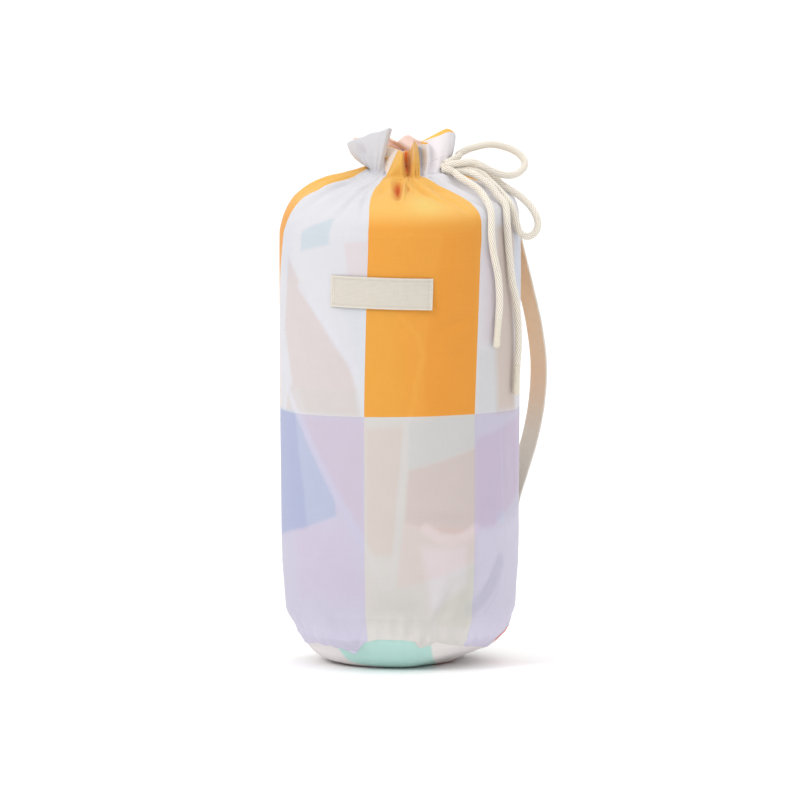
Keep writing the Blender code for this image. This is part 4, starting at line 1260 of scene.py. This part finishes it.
def strap_shell(line):
    """Points round and along the webbing, and both coordinates of its cloth."""
    run = np.gradient(line, axis=0)
    run /= np.linalg.norm(run, axis=1)[:, None]
    out = np.stack([-run[:, 1], run[:, 0]], axis=1)
    radial = np.array((math.sin(STRAP_AZIMUTH), -math.cos(STRAP_AZIMUTH), 0))
    tangent = np.array((math.cos(STRAP_AZIMUTH), math.sin(STRAP_AZIMUTH), 0))
    upward = np.array((0.0, 0.0, 1.0))
    along = np.arange(len(line)) * WEBBING_STEP
    total = along[-1]
    free = np.sin(math.pi * np.clip(along / total, 0, 1)) ** 2
    lean = 0.0025 * free * np.sin(2 * math.pi * along / total)
    twist = 0.02 * free
    across = np.linspace(-STRAP_WIDTH / 2, STRAP_WIDTH / 2, WEBBING_COLUMNS + 1)
    cup = 0.0006 * ((across / (STRAP_WIDTH / 2)) ** 2 - 0.4)
    half = STRAP_THICKNESS / 2 - 0.00016
    rounded = np.sqrt(np.clip(1.0 - (np.abs(across) / (STRAP_WIDTH / 2)) ** 16, 0.05, 1))
    sides = []
    for sign in (-1, 1):
        lift = sign * (half + webbing_relief(across[None, :], along[:, None]))
        lift = lift * rounded[None, :]
        lift = lift + cup[None, :] * free[:, None] + across[None, :] * np.sin(twist)[:, None]
        wide = across[None, :] * np.cos(twist)[:, None] + lean[:, None]
        plane = line[:, None, :] - out[:, None, :] * lift[..., None]
        sides.append(plane[..., 0:1] * radial + plane[..., 1:2] * upward + wide[..., None] * tangent)
    return np.concatenate([sides[0], sides[1][:, ::-1]], axis=1), across, along


# ---------------------------------------------------------------- threads and label

# Height on the print from which the threads that match it take their colour
THREAD_ALONG = 0.228

# Length, gap and radius of each kind of stitch
CASING_STITCH = (0.0020, 0.0012, 0.00022)
BUTTONHOLE_STITCH = (0.0012, 0.0004, 0.00022)
BOX_STITCH = (0.0024, 0.0010, 0.00030)
LABEL_STITCH = (0.0019, 0.0011, 0.00028)

# The sewn boxes of the strap: half their width, and how far from the strap's end they begin and stop
TACK_HALF = 0.009
TACK_NEAR = 0.004
TACK_FAR = 0.022


def dashes(name, route, material, stitch):
    """A row of stitches along a route, each a small bowed thread.

    A row of the route is a world point, with the cloth's own two coordinates after it or without.
    """
    dash, gap, radius = stitch
    route = np.array(route, float)
    count = max(int(reach_along(route)[-1] / 0.0002), 2)
    full, along = resampled(route, count)
    line, printed = full[:, :3], full[:, 3:]
    step = dash + gap
    sides, rings = 6, 5
    shares = np.linspace(0, 1, rings)
    width = radius * np.sqrt(np.clip(1 - (2 * shares - 1) ** 4, 0.12, 1))
    turn = np.linspace(0, 2 * math.pi, sides, endpoint=False)
    cos, sin = np.cos(turn)[None, :, None], np.sin(turn)[None, :, None]
    points, faces, pairs = [], [], []
    _, side, up = frames_along(line)
    start = 0.0
    while start + dash <= along[-1]:
        here = start + dash * shares
        i = np.clip((here / along[-1] * count).astype(int), 0, len(line) - 1)
        ring = side[i][:, None] * cos + up[i][:, None] * sin
        faces += tube_faces(rings, sides, first=len(points) * sides)
        points += list(line[i][:, None] + ring * width[:, None, None])
        pairs += list(np.repeat(printed[i], sides, axis=0))
        start += step
    if not printed.shape[1]:
        return new_object(name, points, faces, material, outward=True)
    tint = np.full((len(pairs), 3), 0.97)
    return new_object(name, points, faces, material, pairs, tint, outward=True)


def whip_stitches(points, neck_row, material):
    """Close stitches round the oblong hole that the cord leaves by, in thread like the print."""
    normals = surface_normals(points[neck_row - 8 : neck_row + 10])
    route = []
    for angle in np.linspace(0, 2 * math.pi, 90):
        row = 8 + 5.5 * math.sin(angle)
        column = int(np.argmin(np.abs(TURNS - 83))) + 3.2 * math.cos(angle)
        r, c = int(row), int(column)
        spot = points[neck_row - 8 + r, c] + normals[r, c] * 0.00008
        across = math.radians(TURNS[c] - FIRST_COLUMN_TURN) * BODY_RADIUS
        route.append((*spot, across, THREAD_ALONG))
    return dashes("buttonhole_stitches", route, material, BUTTONHOLE_STITCH)


def sewn_line(name, corners, surface, material):
    """Stitches along straight runs between corners, laid on a surface given by a function."""
    points = []
    for a, b in zip(corners, corners[1:]):
        for share in np.linspace(0, 1, 24)[:-1]:
            points.append(surface(*(np.array(a) * (1 - share) + np.array(b) * share)))
    points.append(surface(*corners[-1]))
    return dashes(name, points, material, BOX_STITCH)


def strap_face(across, along):
    """A point on the strap's outer face, this far across and this far along it."""
    line = strap_path()
    at = np.clip(along / WEBBING_STEP, 0, len(line) - 1)
    low = min(int(at), len(line) - 2)
    run = line[low + 1] - line[low]
    run = run / np.linalg.norm(run)
    middle = line[low] + run * (at - low) * WEBBING_STEP
    radius, height = middle + np.array((-run[1], run[0])) * 0.0012
    return (
        radius * math.sin(STRAP_AZIMUTH) + across * math.cos(STRAP_AZIMUTH),
        -radius * math.cos(STRAP_AZIMUTH) + across * math.sin(STRAP_AZIMUTH),
        height,
    )


def label_point(across, up, lift):
    """Points of the label from its own centre, turned a little and wrapped round the body."""
    x = across * math.cos(LABEL_TILT) - up * math.sin(LABEL_TILT)
    height = LABEL_HEIGHT + across * math.sin(LABEL_TILT) + up * math.cos(LABEL_TILT)
    radius = side_radius(height) + lift
    return at_azimuth(radius, math.radians(LABEL_TURN) + x / radius, height)


def build_label(material, thread):
    """The blank label and a row of stitches down each of its ends."""
    width, height = LABEL_SIZE
    across = np.linspace(-width / 2, width / 2, 193)
    up = np.linspace(-height / 2, height / 2, 73)
    x, y = np.meshgrid(across, up)
    edge_x = width / 2 - np.abs(x)
    edge_y = height / 2 - np.abs(y)
    sewn = np.exp(-((edge_x - 0.0024) / 0.0012) ** 2)
    lift = 0.0013 + 0.0004 * eased(0.006, 0.0, edge_y) - 0.00035 * sewn
    lift = lift + 0.0005 * eased(0.004, -0.0121, y)
    lift = lift + 0.0012 * eased(0.028, 0.041, x) * eased(0.006, -0.012, y)
    lift = lift + 0.0002 * np.sin(x * 160 + 1) * np.cos(y * 140)
    ragged = 0.00012 * np.sin(across * 7800)[None, :] * (edge_y < 0.0002)
    front = label_point(x, y + ragged * np.sign(y), lift)
    back = label_point(x, y + ragged * np.sign(y), lift - LABEL_THICKNESS * 0.8)
    rows, columns = x.shape
    faces = grid_faces(rows, columns, closed=False)
    faces += flipped(grid_faces(rows, columns, closed=False, first=rows * columns))
    border = list(range(columns)) + list(range(2 * columns - 1, rows * columns, columns))
    border += list(range(rows * columns - 2, (rows - 1) * columns - 1, -1))
    border += list(range((rows - 2) * columns, 0, -columns))
    border = np.array(border)
    after = np.roll(border, -1)
    rim = np.stack([after, border, border + rows * columns, after + rows * columns], axis=1)
    faces += rim.tolist()
    edge = np.minimum(edge_x, edge_y)
    # Paler edges, painted shade along the embossed lines near the long edges, and a darker line inside
    # each row of stitches
    shade = 0.97 + 0.12 * eased(0.0012, 0.0005, edge)
    shade = shade - 0.10 * np.exp(-((edge_y - 0.0023) / 0.0004) ** 2) * (edge_x > 0.002)
    shade = shade - 0.05 * np.exp(-((edge_x - 0.0036) / 0.0005) ** 2)
    cream = np.stack([shade, shade, shade * 0.985], axis=-1)
    flat = np.stack([x, y], axis=-1)
    sheet = np.concatenate([front, back])
    label = new_object("blank_label", sheet, faces, material, [flat, flat], [cream, cream])
    ys = np.linspace(-height / 2 + 0.0012, height / 2 - 0.0012, 60)
    stitches = []
    for name, side in (("label_stitch_left", -1), ("label_stitch_right", 1)):
        run = label_point(np.full(60, side * (width / 2 - 0.0024)), ys, 0.0013)
        stitches.append(dashes(name, run, thread, LABEL_STITCH))
    return label, *stitches


# ---------------------------------------------------------------- what is packed inside

ROLL_PROFILE = [
    (0.040, 0.0055), (0.056, 0.010), (0.066, 0.020), (0.078, 0.032), (0.0855, 0.06), (0.0880, 0.15),
    (0.0885, 0.25), (0.0875, 0.31), (0.0850, 0.335), (0.0790, 0.350), (0.0700, 0.358),
]
ROLL_COLUMNS = 144
ROLL_LAYER = 0.0075
ROLL_SLOPE = 0.16


def build_packed(material):
    """The folded and rolled sheet inside, with its layers showing at the top."""
    turns = np.linspace(0, 2 * math.pi, ROLL_COLUMNS, endpoint=False)
    rows = []
    for radius, z in smooth_curve(ROLL_PROFILE, 0.004):
        row = at_azimuth(radius, turns, z)
        row[:, 2] += ROLL_SLOPE * np.minimum(row[:, 1], 0) * eased(0.330, 0.356, row[:, 2])
        rows.append(row)
    for radius in np.linspace(0.069, 0.002, 56):
        layer = (radius - ROLL_LAYER * turns / (2 * math.pi)) / ROLL_LAYER
        fold = np.abs(np.sin(math.pi * layer)) ** 0.5
        height = 0.3585 + 0.006 * fold + 0.002 * np.sin(3 * turns) * radius / 0.07
        height = height - 0.003 * (radius / 0.07) ** 2
        height = height - ROLL_SLOPE * radius * np.maximum(np.cos(turns), 0)
        rows.append(at_azimuth(radius, turns, height))
    points = np.array(rows)
    uv = points[..., :2] + points[..., 2:]
    return new_object("packed_roll", points, tube_faces(len(rows), ROLL_COLUMNS), material, uv)


# ---------------------------------------------------------------- putting it together


def place(obj, body, slot, *nodes):
    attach(obj, body)
    if nodes:
        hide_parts(*nodes)


def main():
    add_camera()
    add_stage()
    build_cords(cord_material(), tip_material())

    printed = print_material()
    cloth, rows, points = build_cloth(printed)
    place(cloth, "root", "printed_cotton", "body_cloth", "casing_facing")

    base = build_base(base_material())
    place(base, "root", "base_cotton", "base_panel")

    thread = thread_material("pale_thread", srgb(236, 232, 226))
    for name, row, node in (
        ("casing_stitches_lower", len(rows) - 9, "casing_stitch_lower"),
        ("casing_stitches_upper", len(rows) + 11, "casing_stitch_upper"),
    ):
        normals = surface_normals(points[row - 1 : row + 2])[1]
        ring = points[row] + normals * 0.00005
        across = np.radians(TURNS - FIRST_COLUMN_TURN) * BODY_RADIUS
        route = np.column_stack([ring, across, np.full(COLUMNS, THREAD_ALONG)])
        stitches = dashes(name, route, printed, CASING_STITCH)
        place(stitches, "root", "sewing_thread", node)

    webbing = plain_cloth("cotton_webbing", srgb(238, 235, 227), 0.0008, 0.00012, 0.12, tinted=True)
    strap = make_strap(webbing)
    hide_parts("strap_upper", "strap_free", "strap_lower")
    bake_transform(strap)

    canvas = plain_cloth("label_canvas", srgb(214, 207, 196), 0.00085, 0.00014, 0.24, tinted=True)
    label, left_row, right_row = build_label(canvas, thread)
    place(label, "root", "label_canvas", "label_patch")
    place(left_row, "root", "sewing_thread", "label_stitching")
    place(right_row, "root", "sewing_thread")

    packed = build_packed(plain_cloth("folded_cotton", srgb(225, 205, 208), 0.0006, 0.0001, 0.1))
    place(packed, "root", "folded_sheet", "packed_sheet")

    tape = plain_cloth("seam_tape", srgb(238, 238, 236), 0.0005, 0.0001)
    for node in ("base_seam_binding", "side_seam_binding"):
        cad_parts[node].data.materials.clear()
        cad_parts[node].data.materials.append(tape)
    total = (len(strap_path()) - 1) * WEBBING_STEP
    for name, start, end in (
        ("strap_tack_upper", TACK_NEAR, TACK_FAR),
        ("strap_tack_lower", total - TACK_FAR, total - TACK_NEAR),
    ):
        round_box = [(-1, start), (1, start), (1, end), (-1, end), (-1, start), (1, end)]
        corners = [(side * TACK_HALF, along) for side, along in round_box]
        box = sewn_line(name + "_box", corners, strap_face, thread)
        place(box, "root", "sewing_thread", name)
    whip = whip_stitches(points, len(rows), printed)
    place(whip, "root", "sewing_thread", "cord_buttonhole")


main()
